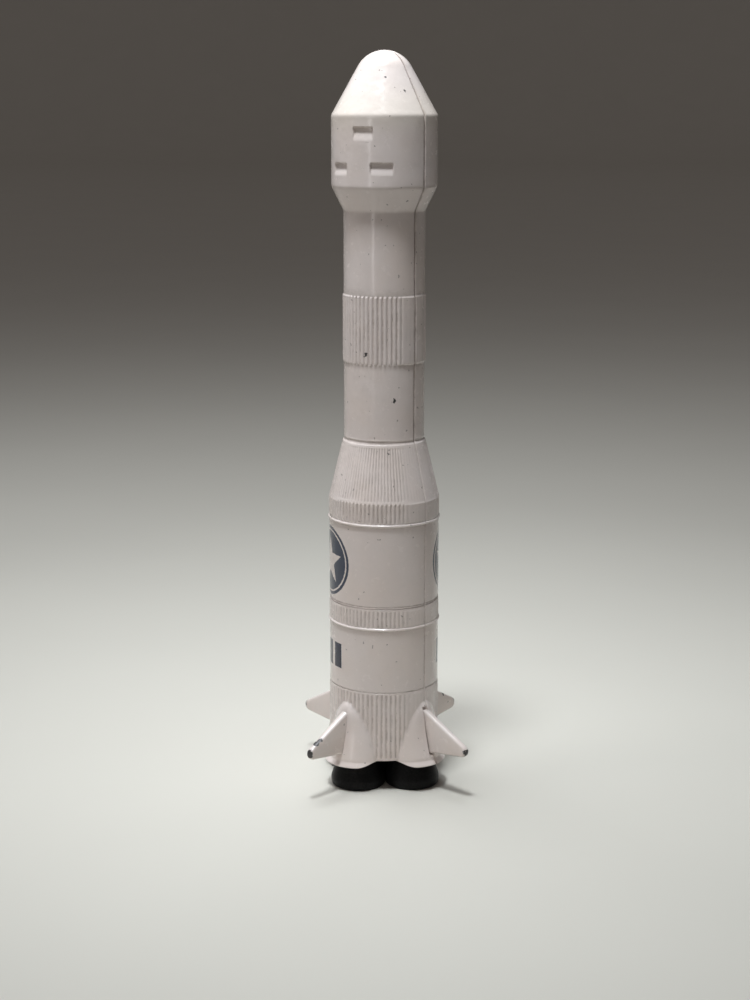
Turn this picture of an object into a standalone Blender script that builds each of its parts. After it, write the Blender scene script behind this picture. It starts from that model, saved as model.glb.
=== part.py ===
"""Palm-size die-cast toy rocket, built as the pieces it comes apart into.

A full-height front casting, a rear casting for the lower stages and a rear
cover that swings back on a pin close round an engine moulding and a payload.
The rocket stands on four engine bells. Metres, +Z up, origin on the rocket's
axis at the surface it stands on. The halves part on the XZ plane: the front
casting is on -Y.
"""
from math import atan2, asin, cos, hypot, pi, radians, sin

import bmesh
import bpy
from mathutils import Matrix, Vector

# Stage lengths, from the floor up.
SKIRT_HEIGHT = 0.00595
FIRST_STAGE_LENGTH = 0.04841
INTERSTAGE_LENGTH = 0.01056
THIRD_STAGE_LENGTH = 0.04122
BOAT_TAIL_LENGTH = 0.00421
FAIRING_LENGTH = 0.0124
NOSE_LENGTH = 0.01117

# Radii and walls of the castings.
FIRST_STAGE_RADIUS = 0.01012
THIRD_STAGE_RADIUS = 0.00733
FAIRING_RADIUS = 0.00946
NOSE_BALL_RADIUS = 0.0054
WALL = 0.0012

# Clearances.
GAP = 0.0003
COVER_SLIT = 0.00035
SEAM_WELD = 0.000002
POINT_MERGE = 0.000001

# Cowls that cover the engines, one below each fin.
COWL_COUNT = 4
COWL_FOOT_HEIGHT = 0.0047
COWL_LIP_HEIGHT = 0.0009
COWL_LIP_FLARE = 0.0004
COWL_LENGTH = 0.0121
COWL_FOOT_RADIUS = 0.0059
COWL_TOP_RADIUS = 0.0048
COWL_OVERHANG = 0.00278
COWL_TOP_DEPTH = 0.0001

# Fins.
FIN_THICKNESS = 0.0016
FIN_EDGE_ROUNDING = 0.0004
FIN_REACH = 0.01053
FIN_TIP_TOP = 0.0096
FIN_TIP_BOTTOM = 0.0080
FIN_TIP_RAKE = 0.0004
FIN_ROOT_TOP = 0.0153
FIN_ROOT_BOTTOM = 0.0070
FIN_ROOT_DEPTH = 0.0004

# Engine moulding and the ledge that traps it.
BELL_SETOUT = 0.0001
BELL_MOUTH_RADIUS = 0.0049
BELL_CLEARANCE = 0.0005
BELL_FLARE_HEIGHT = 0.0031
BELL_RIM = 0.0008
BELL_DEPTH = 0.0036
BELL_HOLLOW_BELOW = 0.0009
LEDGE_HEIGHT = 0.0095
LEDGE_THICKNESS = 0.0012
LEDGE_WIDTH = 0.0015
ENGINE_FLANGE_THICKNESS = 0.001
ENGINE_PLATE_THICKNESS = 0.002
ENGINE_CORE_RADIUS = 0.003
ENGINE_CORE_LIFT = 0.001

# Screws, their posts and the bosses behind their heads.
LOWER_SCREW_ABOVE_SKIRT = 0.01855
UPPER_SCREW_BELOW_INTERSTAGE = 0.00686
SCREW_RADIUS = 0.0007
SCREW_GRIP = 0.005
SCREW_HEAD_RADIUS = 0.0016
SCREW_HEAD_HEIGHT = 0.0008
SCREW_HEAD_CROWN = SCREW_HEAD_HEIGHT / 3
SCREW_POST_WALL = 0.0012
SCREW_BOSS_LENGTH = 0.003

# Hinge of the rear cover.
HINGE_PIN_RADIUS = 0.0004
HINGE_KNUCKLE_WALL = 0.00042
HINGE_STANDOFF = 0.0003
HINGE_CENTRE_WIDTH = 0.0019
HINGE_LUG_WIDTH = 0.00105
HINGE_PIN_GAP = 0.0001

# Payload.
PAYLOAD_SETBACK = 0.0032
ADAPTER_RADIUS = 0.0022
ADAPTER_NECK_RADIUS = 0.0015
ADAPTER_HEIGHT = 0.002
SATELLITE_WIDTH = 0.005
SATELLITE_DEPTH = 0.0044
SATELLITE_HEIGHT = 0.008
PANEL_EDGE_GAP = 0.0009
PANEL_TOP_GAP = 0.0014
PANEL_THICKNESS = 0.0008
PANEL_SOFTENING = PANEL_THICKNESS / 4
DISH_RADIUS = 0.0024
DISH_DEPTH = 0.0012
DISH_WALL = 0.0005
DISH_STEM_RADIUS = 0.0006
DISH_STEM_HEIGHT = 0.0009

# Facets round each kind of turned shape.
BODY_STEPS = 48
COWL_STEPS = 28
BELL_STEPS = 24
SMALL_STEPS = 16

# Heights that follow from the stage lengths.
FIRST_STAGE_TOP = SKIRT_HEIGHT + FIRST_STAGE_LENGTH
COVER_BOTTOM = FIRST_STAGE_TOP + INTERSTAGE_LENGTH
REAR_SHELL_TOP = COVER_BOTTOM - COVER_SLIT
THIRD_STAGE_TOP = COVER_BOTTOM + THIRD_STAGE_LENGTH
FAIRING_BOTTOM = THIRD_STAGE_TOP + BOAT_TAIL_LENGTH
SHOULDER = FAIRING_BOTTOM + FAIRING_LENGTH
APEX = SHOULDER + NOSE_LENGTH
BAY_FLOOR_TOP = REAR_SHELL_TOP - GAP
BAY_FLOOR_BOTTOM = BAY_FLOOR_TOP - WALL
PAYLOAD_FLOOR_TOP = THIRD_STAGE_TOP
COWL_TOP_HEIGHT = COWL_FOOT_HEIGHT + COWL_LENGTH
COWL_TOP_OFFSET = FIRST_STAGE_RADIUS - COWL_TOP_DEPTH - COWL_TOP_RADIUS
COWL_FOOT_OFFSET = FIRST_STAGE_RADIUS + COWL_OVERHANG - COWL_FOOT_RADIUS
FIN_SPAN = FIRST_STAGE_RADIUS + FIN_REACH
BELL_OFFSET = COWL_FOOT_OFFSET + BELL_SETOUT
SCREW_HEIGHTS = {
    "lower_screw": SKIRT_HEIGHT + LOWER_SCREW_ABOVE_SKIRT,
    "upper_screw": FIRST_STAGE_TOP - UPPER_SCREW_BELOW_INTERSTAGE,
}
REACH = 2 * FIN_SPAN

# Azimuths, turned about +Z from +X.
FRONT_FIN_AZIMUTHS = (-pi / 2, pi)
REAR_FIN_AZIMUTHS = (pi / 2, 0.0)

HINGE_Y = THIRD_STAGE_RADIUS + HINGE_STANDOFF
HINGE_Z = COVER_BOTTOM - COVER_SLIT / 2
KNUCKLE_RADIUS = HINGE_PIN_RADIUS + HINGE_PIN_GAP + HINGE_KNUCKLE_WALL
LUG_INNER_X = HINGE_CENTRE_WIDTH / 2 + GAP
LUG_OUTER_X = LUG_INNER_X + HINGE_LUG_WIDTH


def clear_scene():
    for item in list(bpy.data.objects):
        bpy.data.objects.remove(item, do_unlink=True)
    for group in list(bpy.data.collections):
        bpy.data.collections.remove(group)


def new_collection(name):
    group = bpy.data.collections.new(name)
    bpy.context.scene.collection.children.link(group)
    return group


def new_material(name, colour, roughness, metallic):
    material = bpy.data.materials.new(name)
    material.use_nodes = True
    shader = material.node_tree.nodes["Principled BSDF"]
    shader.inputs["Base Color"].default_value = (*colour, 1.0)
    shader.inputs["Roughness"].default_value = roughness
    shader.inputs["Metallic"].default_value = metallic
    return material


def add_object(name, mesh, group, material=None):
    item = bpy.data.objects.new(name, mesh)
    group.objects.link(item)
    if material:
        mesh.materials.clear()
        mesh.materials.append(material)
        mesh.shade_smooth()
        mesh.set_sharp_from_angle(angle=radians(35))
    if group.name == "cutters":
        item.hide_render = True
        item.display_type = "WIRE"
    return item


def turned(name, profile, steps, group, material=None, closed=False):
    """Solid turned about Z from an outline that runs down its outer side."""
    mesh = bpy.data.meshes.new(name)
    edges = [(index, index + 1) for index in range(len(profile) - 1)]
    if closed:
        edges.append((len(profile) - 1, 0))
    mesh.from_pydata([(radius, 0.0, height) for radius, height in profile], edges, [])
    item = add_object(name, mesh, group, material)
    screw = item.modifiers.new("Turn", "SCREW")
    screw.steps = steps
    screw.render_steps = steps
    screw.use_merge_vertices = True
    screw.merge_threshold = POINT_MERGE
    screw.use_smooth_shade = bool(material)
    return item


def block(name, low, high, group, material=None):
    """Box between two opposite corners."""
    low = Vector(low)
    high = Vector(high)
    work = bmesh.new()
    bmesh.ops.create_cube(work, size=1.0)
    bmesh.ops.scale(work, vec=high - low, verts=work.verts)
    mesh = bpy.data.meshes.new(name)
    work.to_mesh(mesh)
    work.free()
    item = add_object(name, mesh, group, material)
    item.location = (low + high) / 2
    return item


def rod(name, radius, start, end, group, material=None):
    """Round bar between two points."""
    start = Vector(start)
    end = Vector(end)
    work = bmesh.new()
    bmesh.ops.create_cone(work, cap_ends=True, segments=SMALL_STEPS, radius1=radius,
                          radius2=radius, depth=(end - start).length)
    mesh = bpy.data.meshes.new(name)
    work.to_mesh(mesh)
    work.free()
    item = add_object(name, mesh, group, material)
    item.location = (start + end) / 2
    item.rotation_euler = (end - start).to_track_quat("Z", "Y").to_euler()
    return item


def combine(item, other, operation):
    """Boolean with the specks that it leaves along its seams welded up."""
    boolean = item.modifiers.new(other.name, "BOOLEAN")
    boolean.operation = operation
    boolean.solver = "EXACT"
    boolean.object = other
    weld = item.modifiers.new(f"{other.name} seam", "WELD")
    weld.merge_threshold = SEAM_WELD


def evaluated_mesh(item):
    """Mesh of an object with its modifiers, in world coordinates."""
    bpy.context.view_layer.update()
    graph = bpy.context.evaluated_depsgraph_get()
    mesh = bpy.data.meshes.new_from_object(item.evaluated_get(graph))
    mesh.transform(item.matrix_world)
    return mesh


def nose_outline(ball_steps=5):
    """Ball tip and the cone that runs from it to the fairing's shoulder."""
    centre = APEX - NOSE_BALL_RADIUS
    rise = centre - SHOULDER
    line = atan2(rise, FAIRING_RADIUS) + asin(NOSE_BALL_RADIUS / hypot(rise, FAIRING_RADIUS))
    contact = pi / 2 - line
    points = []
    for step in range(ball_steps + 1):
        angle = pi / 2 + (contact - pi / 2) * step / ball_steps
        radius = max(0.0, NOSE_BALL_RADIUS * cos(angle))
        points.append((0.0 if step == 0 else radius, centre + NOSE_BALL_RADIUS * sin(angle)))
    points.append((FAIRING_RADIUS, SHOULDER))
    return points


def inset(points, distance):
    """Outline moved inward by a wall, square to each of its lines."""
    moved = []
    for index, (radius, height) in enumerate(points):
        normals = []
        for first, second in ((index - 1, index), (index, index + 1)):
            if 0 <= first and second < len(points):
                run = Vector(points[second]) - Vector(points[first])
                normals.append(Vector((run.y, -run.x)).normalized())
        middle = sum(normals, Vector((0.0, 0.0))).normalized()
        shift = middle * distance / middle.dot(normals[0])
        moved.append((max(0.0, radius + shift.x), height + shift.y))
    return moved


def upper_outline():
    return nose_outline() + [
        (FAIRING_RADIUS, FAIRING_BOTTOM),
        (THIRD_STAGE_RADIUS, THIRD_STAGE_TOP),
        (THIRD_STAGE_RADIUS, REAR_SHELL_TOP),
    ]


def lower_outline():
    return [
        (THIRD_STAGE_RADIUS, REAR_SHELL_TOP),
        (FIRST_STAGE_RADIUS, FIRST_STAGE_TOP),
        (FIRST_STAGE_RADIUS, SKIRT_HEIGHT),
    ]


def upper_cavity(group):
    points = inset(upper_outline(), WALL)
    points[0] = (0.0, APEX - WALL)
    points[-1] = (THIRD_STAGE_RADIUS - WALL, BAY_FLOOR_TOP)
    points.append((0.0, BAY_FLOOR_TOP))
    return turned("upper_cavity", points, BODY_STEPS, group)


def lower_cavity(group):
    points = inset(lower_outline(), WALL)
    (top_radius, top), (bottom_radius, bottom) = points[:2]
    share = (top - BAY_FLOOR_BOTTOM) / (top - bottom)
    ceiling_radius = top_radius + share * (bottom_radius - top_radius)
    points[0] = (ceiling_radius, BAY_FLOOR_BOTTOM)
    points[-1] = (bottom_radius, 0.0)
    points = [(0.0, BAY_FLOOR_BOTTOM), *points, (0.0, 0.0)]
    return turned("lower_cavity", points, BODY_STEPS, group)


def cowl_shape(name, azimuth, inward, group):
    """Leaning cone below a fin, or the hollow inside it when inward is a wall."""
    foot = COWL_FOOT_HEIGHT - inward
    lip = COWL_FOOT_HEIGHT + COWL_LIP_HEIGHT
    waist = COWL_FOOT_RADIUS - inward
    outline = [(0.0, COWL_TOP_HEIGHT), (COWL_TOP_RADIUS - inward, COWL_TOP_HEIGHT), (waist, lip)]
    if inward:
        outline += [(waist, foot), (0.0, foot)]
    else:
        outline += [(waist + COWL_LIP_FLARE, foot), (0.0, foot)]
    guide = turned(name, outline, COWL_STEPS, group)
    mesh = evaluated_mesh(guide)
    bpy.data.objects.remove(guide, do_unlink=True)
    lean = Matrix.Identity(4)
    lean[0][2] = (COWL_TOP_OFFSET - COWL_FOOT_OFFSET) / COWL_LENGTH
    lean[0][3] = COWL_TOP_OFFSET - lean[0][2] * COWL_TOP_HEIGHT
    mesh.transform(Matrix.Rotation(azimuth, 4, "Z") @ lean)
    return add_object(name, mesh, group)


def cowl_surface(height):
    """Distance from the axis to the middle of a cowl's outer side."""
    share = (COWL_TOP_HEIGHT - height) / COWL_LENGTH
    top = COWL_TOP_OFFSET + COWL_TOP_RADIUS
    foot = COWL_FOOT_OFFSET + COWL_FOOT_RADIUS
    return top + (foot - top) * share


def fin_shape(name, azimuth, margin, group):
    """Flat fin, standing in the plane through the axis; margin grows it for a notch."""
    depth = FIN_ROOT_DEPTH + margin
    outline = [
        (cowl_surface(FIN_ROOT_TOP) - depth, FIN_ROOT_TOP + margin),
        (cowl_surface(FIN_ROOT_TOP) + FIN_ROOT_DEPTH, FIN_ROOT_TOP + margin),
        (FIN_SPAN + margin, FIN_TIP_TOP + margin),
        (FIN_SPAN - FIN_TIP_RAKE + margin, FIN_TIP_BOTTOM - margin),
        (cowl_surface(FIN_ROOT_BOTTOM) - depth, FIN_ROOT_BOTTOM - margin),
    ]
    curve = bpy.data.curves.new(name, "CURVE")
    curve.dimensions = "2D"
    curve.fill_mode = "BOTH"
    curve.bevel_depth = FIN_EDGE_ROUNDING
    curve.bevel_resolution = 1
    curve.offset = -FIN_EDGE_ROUNDING
    curve.extrude = FIN_THICKNESS / 2 + margin - FIN_EDGE_ROUNDING
    spline = curve.splines.new("POLY")
    spline.points.add(len(outline) - 1)
    for point, (out, up) in zip(spline.points, outline):
        point.co = (out, up, 0.0, 1.0)
    spline.use_cyclic_u = True
    guide = bpy.data.objects.new(name, curve)
    group.objects.link(guide)
    guide.rotation_euler = (pi / 2, 0.0, azimuth)
    mesh = evaluated_mesh(guide)
    bpy.data.objects.remove(guide, do_unlink=True)
    work = bmesh.new()
    work.from_mesh(mesh)
    bmesh.ops.remove_doubles(work, verts=work.verts, dist=POINT_MERGE)
    bmesh.ops.recalc_face_normals(work, faces=work.faces)
    work.to_mesh(mesh)
    work.free()
    return add_object(name, mesh, group)


def hollow_casting(group):
    """Whole body of the rocket with its cowls, before it is parted into halves."""
    casting = turned("casting", upper_outline() + lower_outline()[1:] + [(0.0, SKIRT_HEIGHT)],
                     BODY_STEPS, group)
    azimuths = [2 * pi * index / COWL_COUNT for index in range(COWL_COUNT)]
    for index, azimuth in enumerate(azimuths):
        combine(casting, cowl_shape(f"cowl_{index}", azimuth, 0.0, group), "UNION")
    for index, azimuth in enumerate(azimuths):
        combine(casting, cowl_shape(f"cowl_hollow_{index}", azimuth, WALL, group), "DIFFERENCE")
    combine(casting, upper_cavity(group), "DIFFERENCE")
    combine(casting, lower_cavity(group), "DIFFERENCE")
    outer = FIRST_STAGE_RADIUS - WALL / 2
    inner = FIRST_STAGE_RADIUS - WALL - LEDGE_WIDTH
    top = LEDGE_HEIGHT + LEDGE_THICKNESS
    ring = [(inner, top), (outer, top), (outer, LEDGE_HEIGHT), (inner, LEDGE_HEIGHT)]
    combine(casting, turned("ledge", ring, BODY_STEPS, group, closed=True), "UNION")
    return casting


def shell_from(casting, name, low, high, parts, cutters, material, floor=None):
    """Share of the casting, and of a floor across it, that lies inside a box."""
    shell = add_object(name, evaluated_mesh(casting), parts, material)
    if floor:
        combine(shell, floor, "UNION")
    combine(shell, block(f"{name}_share", low, high, cutters), "INTERSECT")
    return shell


def rear_wall_inside():
    return FIRST_STAGE_RADIUS - WALL


def add_front_shell(casting, parts, cutters, material):
    low = (-REACH, -REACH, -GAP)
    high = (REACH, -GAP / 2, APEX + GAP)
    floor_radius = THIRD_STAGE_RADIUS - WALL / 2
    floor = turned("payload_floor", [
        (0.0, PAYLOAD_FLOOR_TOP),
        (floor_radius, PAYLOAD_FLOOR_TOP),
        (floor_radius, PAYLOAD_FLOOR_TOP - WALL),
        (0.0, PAYLOAD_FLOOR_TOP - WALL),
    ], BODY_STEPS, cutters)
    shell = shell_from(casting, "front_shell", low, high, parts, cutters, material, floor)
    post_radius = SCREW_RADIUS + GAP + SCREW_POST_WALL
    post_end = rear_wall_inside() - SCREW_BOSS_LENGTH - GAP
    for name, height in SCREW_HEIGHTS.items():
        start = (0.0, -rear_wall_inside() - WALL / 2, height)
        post = rod(f"{name}_post", post_radius, start, (0.0, post_end, height), cutters)
        combine(shell, post, "UNION")
        hole_start = (0.0, post_end - SCREW_GRIP - GAP, height)
        hole_end = (0.0, post_end + GAP, height)
        hole = rod(f"{name}_pilot", SCREW_RADIUS + GAP, hole_start, hole_end, cutters)
        combine(shell, hole, "DIFFERENCE")
    add_fins(shell, "front", FRONT_FIN_AZIMUTHS, REAR_FIN_AZIMUTHS, cutters)
    return shell


def add_fins(shell, side, own, others, cutters):
    """Join a half's own fins, and notch it round the other half's fin on the parting plane."""
    for index, azimuth in enumerate(others):
        on_parting_plane = abs(sin(azimuth)) < abs(cos(azimuth))
        if on_parting_plane:
            notch = fin_shape(f"{side}_fin_notch_{index}", azimuth, GAP, cutters)
            combine(shell, notch, "DIFFERENCE")
    for index, azimuth in enumerate(own):
        combine(shell, fin_shape(f"{side}_fin_{index}", azimuth, 0.0, cutters), "UNION")


def hinge_rod(name, radius, start_x, end_x, group, material=None):
    start = (start_x, HINGE_Y, HINGE_Z)
    return rod(name, radius, start, (end_x, HINGE_Y, HINGE_Z), group, material)


def hinge_web(name, start_x, end_x, low_z, high_z, group):
    """Block that joins a barrel of the hinge to the wall in front of it."""
    middle_radius = THIRD_STAGE_RADIUS - WALL / 2
    low_x, high_x = sorted((start_x, end_x))
    front = (middle_radius ** 2 - max(abs(low_x), abs(high_x)) ** 2) ** 0.5
    return block(name, (low_x, front, low_z), (high_x, HINGE_Y, high_z), group)


def add_rear_lower_shell(casting, parts, cutters, material):
    low = (-REACH, GAP / 2, -GAP)
    high = (REACH, REACH, REAR_SHELL_TOP)
    shell = shell_from(casting, "rear_lower_shell", low, high, parts, cutters, material)
    wall = rear_wall_inside()
    boss_radius = SCREW_RADIUS + GAP + SCREW_POST_WALL
    for name, height in SCREW_HEIGHTS.items():
        start = (0.0, wall - SCREW_BOSS_LENGTH, height)
        boss = rod(f"{name}_boss", boss_radius, start, (0.0, wall + WALL / 2, height), cutters)
        combine(shell, boss, "UNION")
        start = (0.0, wall - SCREW_BOSS_LENGTH - GAP, height)
        hole = rod(f"{name}_hole", SCREW_RADIUS + GAP, start, (0.0, wall + WALL, height), cutters)
        combine(shell, hole, "DIFFERENCE")
        start = (0.0, wall, height)
        seat = rod(f"{name}_seat", SCREW_HEAD_RADIUS + GAP, start, (0.0, wall + 2 * WALL, height),
                   cutters)
        combine(shell, seat, "DIFFERENCE")
    relief = hinge_rod("knuckle_relief", KNUCKLE_RADIUS + GAP, -LUG_INNER_X, LUG_INNER_X, cutters)
    combine(shell, relief, "DIFFERENCE")
    for side in (-1, 1):
        label = "left" if side < 0 else "right"
        lug = hinge_rod(f"{label}_lug", KNUCKLE_RADIUS, side * LUG_INNER_X, side * LUG_OUTER_X,
                        cutters)
        web = hinge_web(f"{label}_lug_web", side * LUG_INNER_X, side * LUG_OUTER_X,
                        HINGE_Z - KNUCKLE_RADIUS, REAR_SHELL_TOP - GAP / 2, cutters)
        combine(shell, web, "UNION")
        combine(shell, lug, "UNION")
    bore = hinge_rod("lug_bore", HINGE_PIN_RADIUS + HINGE_PIN_GAP, -LUG_OUTER_X - GAP,
                     LUG_OUTER_X + GAP, cutters)
    combine(shell, bore, "DIFFERENCE")
    add_fins(shell, "rear", REAR_FIN_AZIMUTHS, FRONT_FIN_AZIMUTHS, cutters)
    return shell


def add_rear_upper_cover(casting, parts, cutters, material):
    low = (-REACH, GAP / 2, COVER_BOTTOM)
    high = (REACH, REACH, APEX + GAP)
    cover = shell_from(casting, "rear_upper_cover", low, high, parts, cutters, material)
    for side in (-1, 1):
        label = "left" if side < 0 else "right"
        inner = side * HINGE_CENTRE_WIDTH / 2
        outer = side * (LUG_OUTER_X + GAP)
        relief = hinge_rod(f"{label}_lug_relief", KNUCKLE_RADIUS + GAP, inner, outer, cutters)
        combine(cover, relief, "DIFFERENCE")
    half_width = HINGE_CENTRE_WIDTH / 2
    web = hinge_web("knuckle_web", -half_width, half_width, COVER_BOTTOM + GAP / 2,
                    HINGE_Z + KNUCKLE_RADIUS, cutters)
    combine(cover, web, "UNION")
    combine(cover, hinge_rod("knuckle", KNUCKLE_RADIUS, -half_width, half_width, cutters), "UNION")
    bore = hinge_rod("knuckle_bore", HINGE_PIN_RADIUS + HINGE_PIN_GAP, -half_width - GAP,
                     half_width + GAP, cutters)
    combine(cover, bore, "DIFFERENCE")
    hinge = bpy.data.objects.new("cover_hinge", None)
    parts.objects.link(hinge)
    hinge.location = (0.0, HINGE_Y, HINGE_Z)
    cover.parent = hinge
    cover.matrix_parent_inverse = Matrix.Translation(hinge.location).inverted()
    return cover


def add_engine_block(parts, cutters, material):
    """Black moulding: a grooved plug caught on the ledge, with four bells round a core below."""
    plug_radius = rear_wall_inside() - GAP
    neck_radius = rear_wall_inside() - LEDGE_WIDTH - GAP
    plate_top = LEDGE_HEIGHT - GAP
    plate_bottom = plate_top - ENGINE_PLATE_THICKNESS
    flange_bottom = LEDGE_HEIGHT + LEDGE_THICKNESS + GAP
    flange_top = flange_bottom + ENGINE_FLANGE_THICKNESS
    engine = turned("engine_block", [
        (0.0, flange_top),
        (plug_radius, flange_top),
        (plug_radius, flange_bottom),
        (neck_radius, flange_bottom),
        (neck_radius, plate_top),
        (plug_radius, plate_top),
        (plug_radius, plate_bottom),
        (ENGINE_CORE_RADIUS, plate_bottom),
        (ENGINE_CORE_RADIUS, ENGINE_CORE_LIFT),
        (0.0, ENGINE_CORE_LIFT),
    ], BODY_STEPS, parts, material)
    neck_top = plate_bottom + ENGINE_PLATE_THICKNESS / 2
    throat_radius = COWL_FOOT_RADIUS - WALL - BELL_CLEARANCE
    bell_neck_radius = cowl_surface(plate_bottom) - WALL - BELL_OFFSET - BELL_CLEARANCE
    bell = turned("bell", [
        (0.0, neck_top),
        (bell_neck_radius, neck_top),
        (bell_neck_radius, plate_bottom),
        (throat_radius, BELL_FLARE_HEIGHT),
        (BELL_MOUTH_RADIUS, 0.0),
        (0.0, 0.0),
    ], BELL_STEPS, cutters)
    hollow_top = throat_radius - 2 * BELL_RIM
    hollow_mouth = BELL_MOUTH_RADIUS - BELL_RIM
    widening = (hollow_mouth - hollow_top) / BELL_DEPTH
    hollow = turned("bell_hollow", [
        (0.0, BELL_DEPTH),
        (hollow_top, BELL_DEPTH),
        (hollow_mouth + widening * BELL_HOLLOW_BELOW, -BELL_HOLLOW_BELOW),
        (0.0, -BELL_HOLLOW_BELOW),
    ], BELL_STEPS, cutters)
    for shape, operation in ((bell, "UNION"), (hollow, "DIFFERENCE")):
        mesh = evaluated_mesh(shape)
        bpy.data.objects.remove(shape, do_unlink=True)
        for index in range(COWL_COUNT):
            azimuth = 2 * pi * index / COWL_COUNT
            tool = add_object(f"{operation.lower()}_{index}", mesh, cutters)
            tool.location = (BELL_OFFSET * cos(azimuth), BELL_OFFSET * sin(azimuth), 0.0)
            combine(engine, tool, operation)
    return engine


def add_screw(name, height, parts, material):
    """Pan-head screw, turned about its own axis and laid along Y with its head to the rear."""
    wall = rear_wall_inside()
    head_bottom = wall + GAP
    head_top = head_bottom + SCREW_HEAD_HEIGHT
    tip = wall - SCREW_BOSS_LENGTH - GAP - SCREW_GRIP
    screw = turned(name, [
        (0.0, head_top),
        (SCREW_HEAD_RADIUS - SCREW_HEAD_CROWN, head_top),
        (SCREW_HEAD_RADIUS, head_top - SCREW_HEAD_CROWN),
        (SCREW_HEAD_RADIUS, head_bottom),
        (SCREW_RADIUS, head_bottom),
        (SCREW_RADIUS, tip + SCREW_RADIUS),
        (0.0, tip),
    ], SMALL_STEPS, parts, material)
    screw.rotation_euler = (-pi / 2, 0.0, 0.0)
    screw.location = (0.0, 0.0, height)
    return screw


def add_payload(parts, metal, panel_material, dish_material):
    """Seat, body, two panels and dish of the satellite in the fairing."""
    seat_bottom = PAYLOAD_FLOOR_TOP + GAP
    seat_top = seat_bottom + ADAPTER_HEIGHT
    adapter = turned("payload_adapter", [
        (0.0, seat_top),
        (ADAPTER_NECK_RADIUS, seat_top),
        (ADAPTER_RADIUS, seat_bottom),
        (0.0, seat_bottom),
    ], SMALL_STEPS, parts, dish_material)
    adapter.location.y = -PAYLOAD_SETBACK

    body_bottom = seat_top + GAP
    body_top = body_bottom + SATELLITE_HEIGHT
    half_width = SATELLITE_WIDTH / 2
    front = -PAYLOAD_SETBACK - SATELLITE_DEPTH / 2
    back = -PAYLOAD_SETBACK + SATELLITE_DEPTH / 2
    body = block("satellite_body", (-half_width, front, body_bottom), (half_width, back, body_top),
                 parts, metal)
    soften(body)

    panel_front = PAYLOAD_SETBACK + PANEL_THICKNESS / 2
    outer = ((FAIRING_RADIUS - WALL - PANEL_EDGE_GAP) ** 2 - panel_front ** 2) ** 0.5
    for label, side in (("left", -1), ("right", 1)):
        edges = sorted((side * (half_width + GAP), side * outer))
        low = (edges[0], -panel_front, FAIRING_BOTTOM)
        high = (edges[1], PANEL_THICKNESS - panel_front, SHOULDER - PANEL_TOP_GAP)
        soften(block(f"satellite_panel_{label}", low, high, parts, panel_material))

    stem_bottom = body_top + GAP
    bowl_bottom = stem_bottom + DISH_STEM_HEIGHT
    bowl_top = bowl_bottom + DISH_DEPTH
    dish = turned("satellite_dish", [
        (0.0, bowl_bottom + DISH_WALL),
        (DISH_RADIUS - DISH_WALL, bowl_top),
        (DISH_RADIUS, bowl_top),
        (DISH_STEM_RADIUS, bowl_bottom),
        (DISH_STEM_RADIUS, stem_bottom),
        (0.0, stem_bottom),
    ], SMALL_STEPS, parts, dish_material)
    dish.location.y = -PAYLOAD_SETBACK


def soften(item):
    bevel = item.modifiers.new("Soften", "BEVEL")
    bevel.width = PANEL_SOFTENING
    bevel.segments = 1


def main():
    clear_scene()
    parts = new_collection("toy_rocket")
    cutters = new_collection("cutters")
    enamel = new_material("white_enamel", (0.82, 0.80, 0.80), 0.28, 0.0)
    plastic = new_material("black_plastic", (0.012, 0.012, 0.013), 0.42, 0.0)
    steel = new_material("plated_steel", (0.55, 0.55, 0.56), 0.35, 1.0)
    gold = new_material("gold_plastic", (0.62, 0.42, 0.12), 0.35, 0.0)
    blue = new_material("blue_plastic", (0.02, 0.05, 0.22), 0.30, 0.0)
    grey = new_material("grey_plastic", (0.55, 0.56, 0.58), 0.40, 0.0)

    casting = hollow_casting(cutters)
    add_front_shell(casting, parts, cutters, enamel)
    add_rear_lower_shell(casting, parts, cutters, enamel)
    add_rear_upper_cover(casting, parts, cutters, enamel)
    hinge_rod("hinge_pin", HINGE_PIN_RADIUS, -LUG_OUTER_X, LUG_OUTER_X, parts, steel)
    add_engine_block(parts, cutters, plastic)
    for name, height in SCREW_HEIGHTS.items():
        add_screw(name, height, parts, steel)
    add_payload(parts, gold, blue, grey)


main()
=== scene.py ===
"""Looks of the die-cast toy rocket: cast shells, engine moulding, fastenings, payload and studio."""
from math import asin, atan2, cos, hypot, pi, radians, sin, sqrt

import bmesh
import bpy
import numpy as np
from bpy.props import FloatProperty, FloatVectorProperty, IntProperty, PointerProperty
from mathutils import Matrix, Vector


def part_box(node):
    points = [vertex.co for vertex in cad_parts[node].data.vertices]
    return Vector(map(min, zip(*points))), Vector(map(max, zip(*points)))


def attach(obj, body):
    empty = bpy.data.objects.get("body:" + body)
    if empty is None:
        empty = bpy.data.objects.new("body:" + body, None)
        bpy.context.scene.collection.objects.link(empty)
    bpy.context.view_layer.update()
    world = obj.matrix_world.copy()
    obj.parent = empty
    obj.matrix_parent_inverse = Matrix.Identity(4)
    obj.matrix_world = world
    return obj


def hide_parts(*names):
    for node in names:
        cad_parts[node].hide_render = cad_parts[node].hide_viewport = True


bl_info = {
    "name": "Toy Rocket Looks",
    "version": (1, 0, 0),
    "blender": (4, 5, 0),
    "location": "View3D > Sidebar > Rocket",
    "description": "Fine pieces, finishes and studio for a die-cast toy rocket",
    "category": "Object",
}

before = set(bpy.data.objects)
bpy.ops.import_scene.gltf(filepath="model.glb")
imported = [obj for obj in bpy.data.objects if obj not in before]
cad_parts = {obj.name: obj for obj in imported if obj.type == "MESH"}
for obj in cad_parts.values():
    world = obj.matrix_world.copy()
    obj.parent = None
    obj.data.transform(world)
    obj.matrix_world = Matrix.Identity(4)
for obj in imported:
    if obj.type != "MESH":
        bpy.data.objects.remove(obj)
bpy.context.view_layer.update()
MM = 0.001

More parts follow.
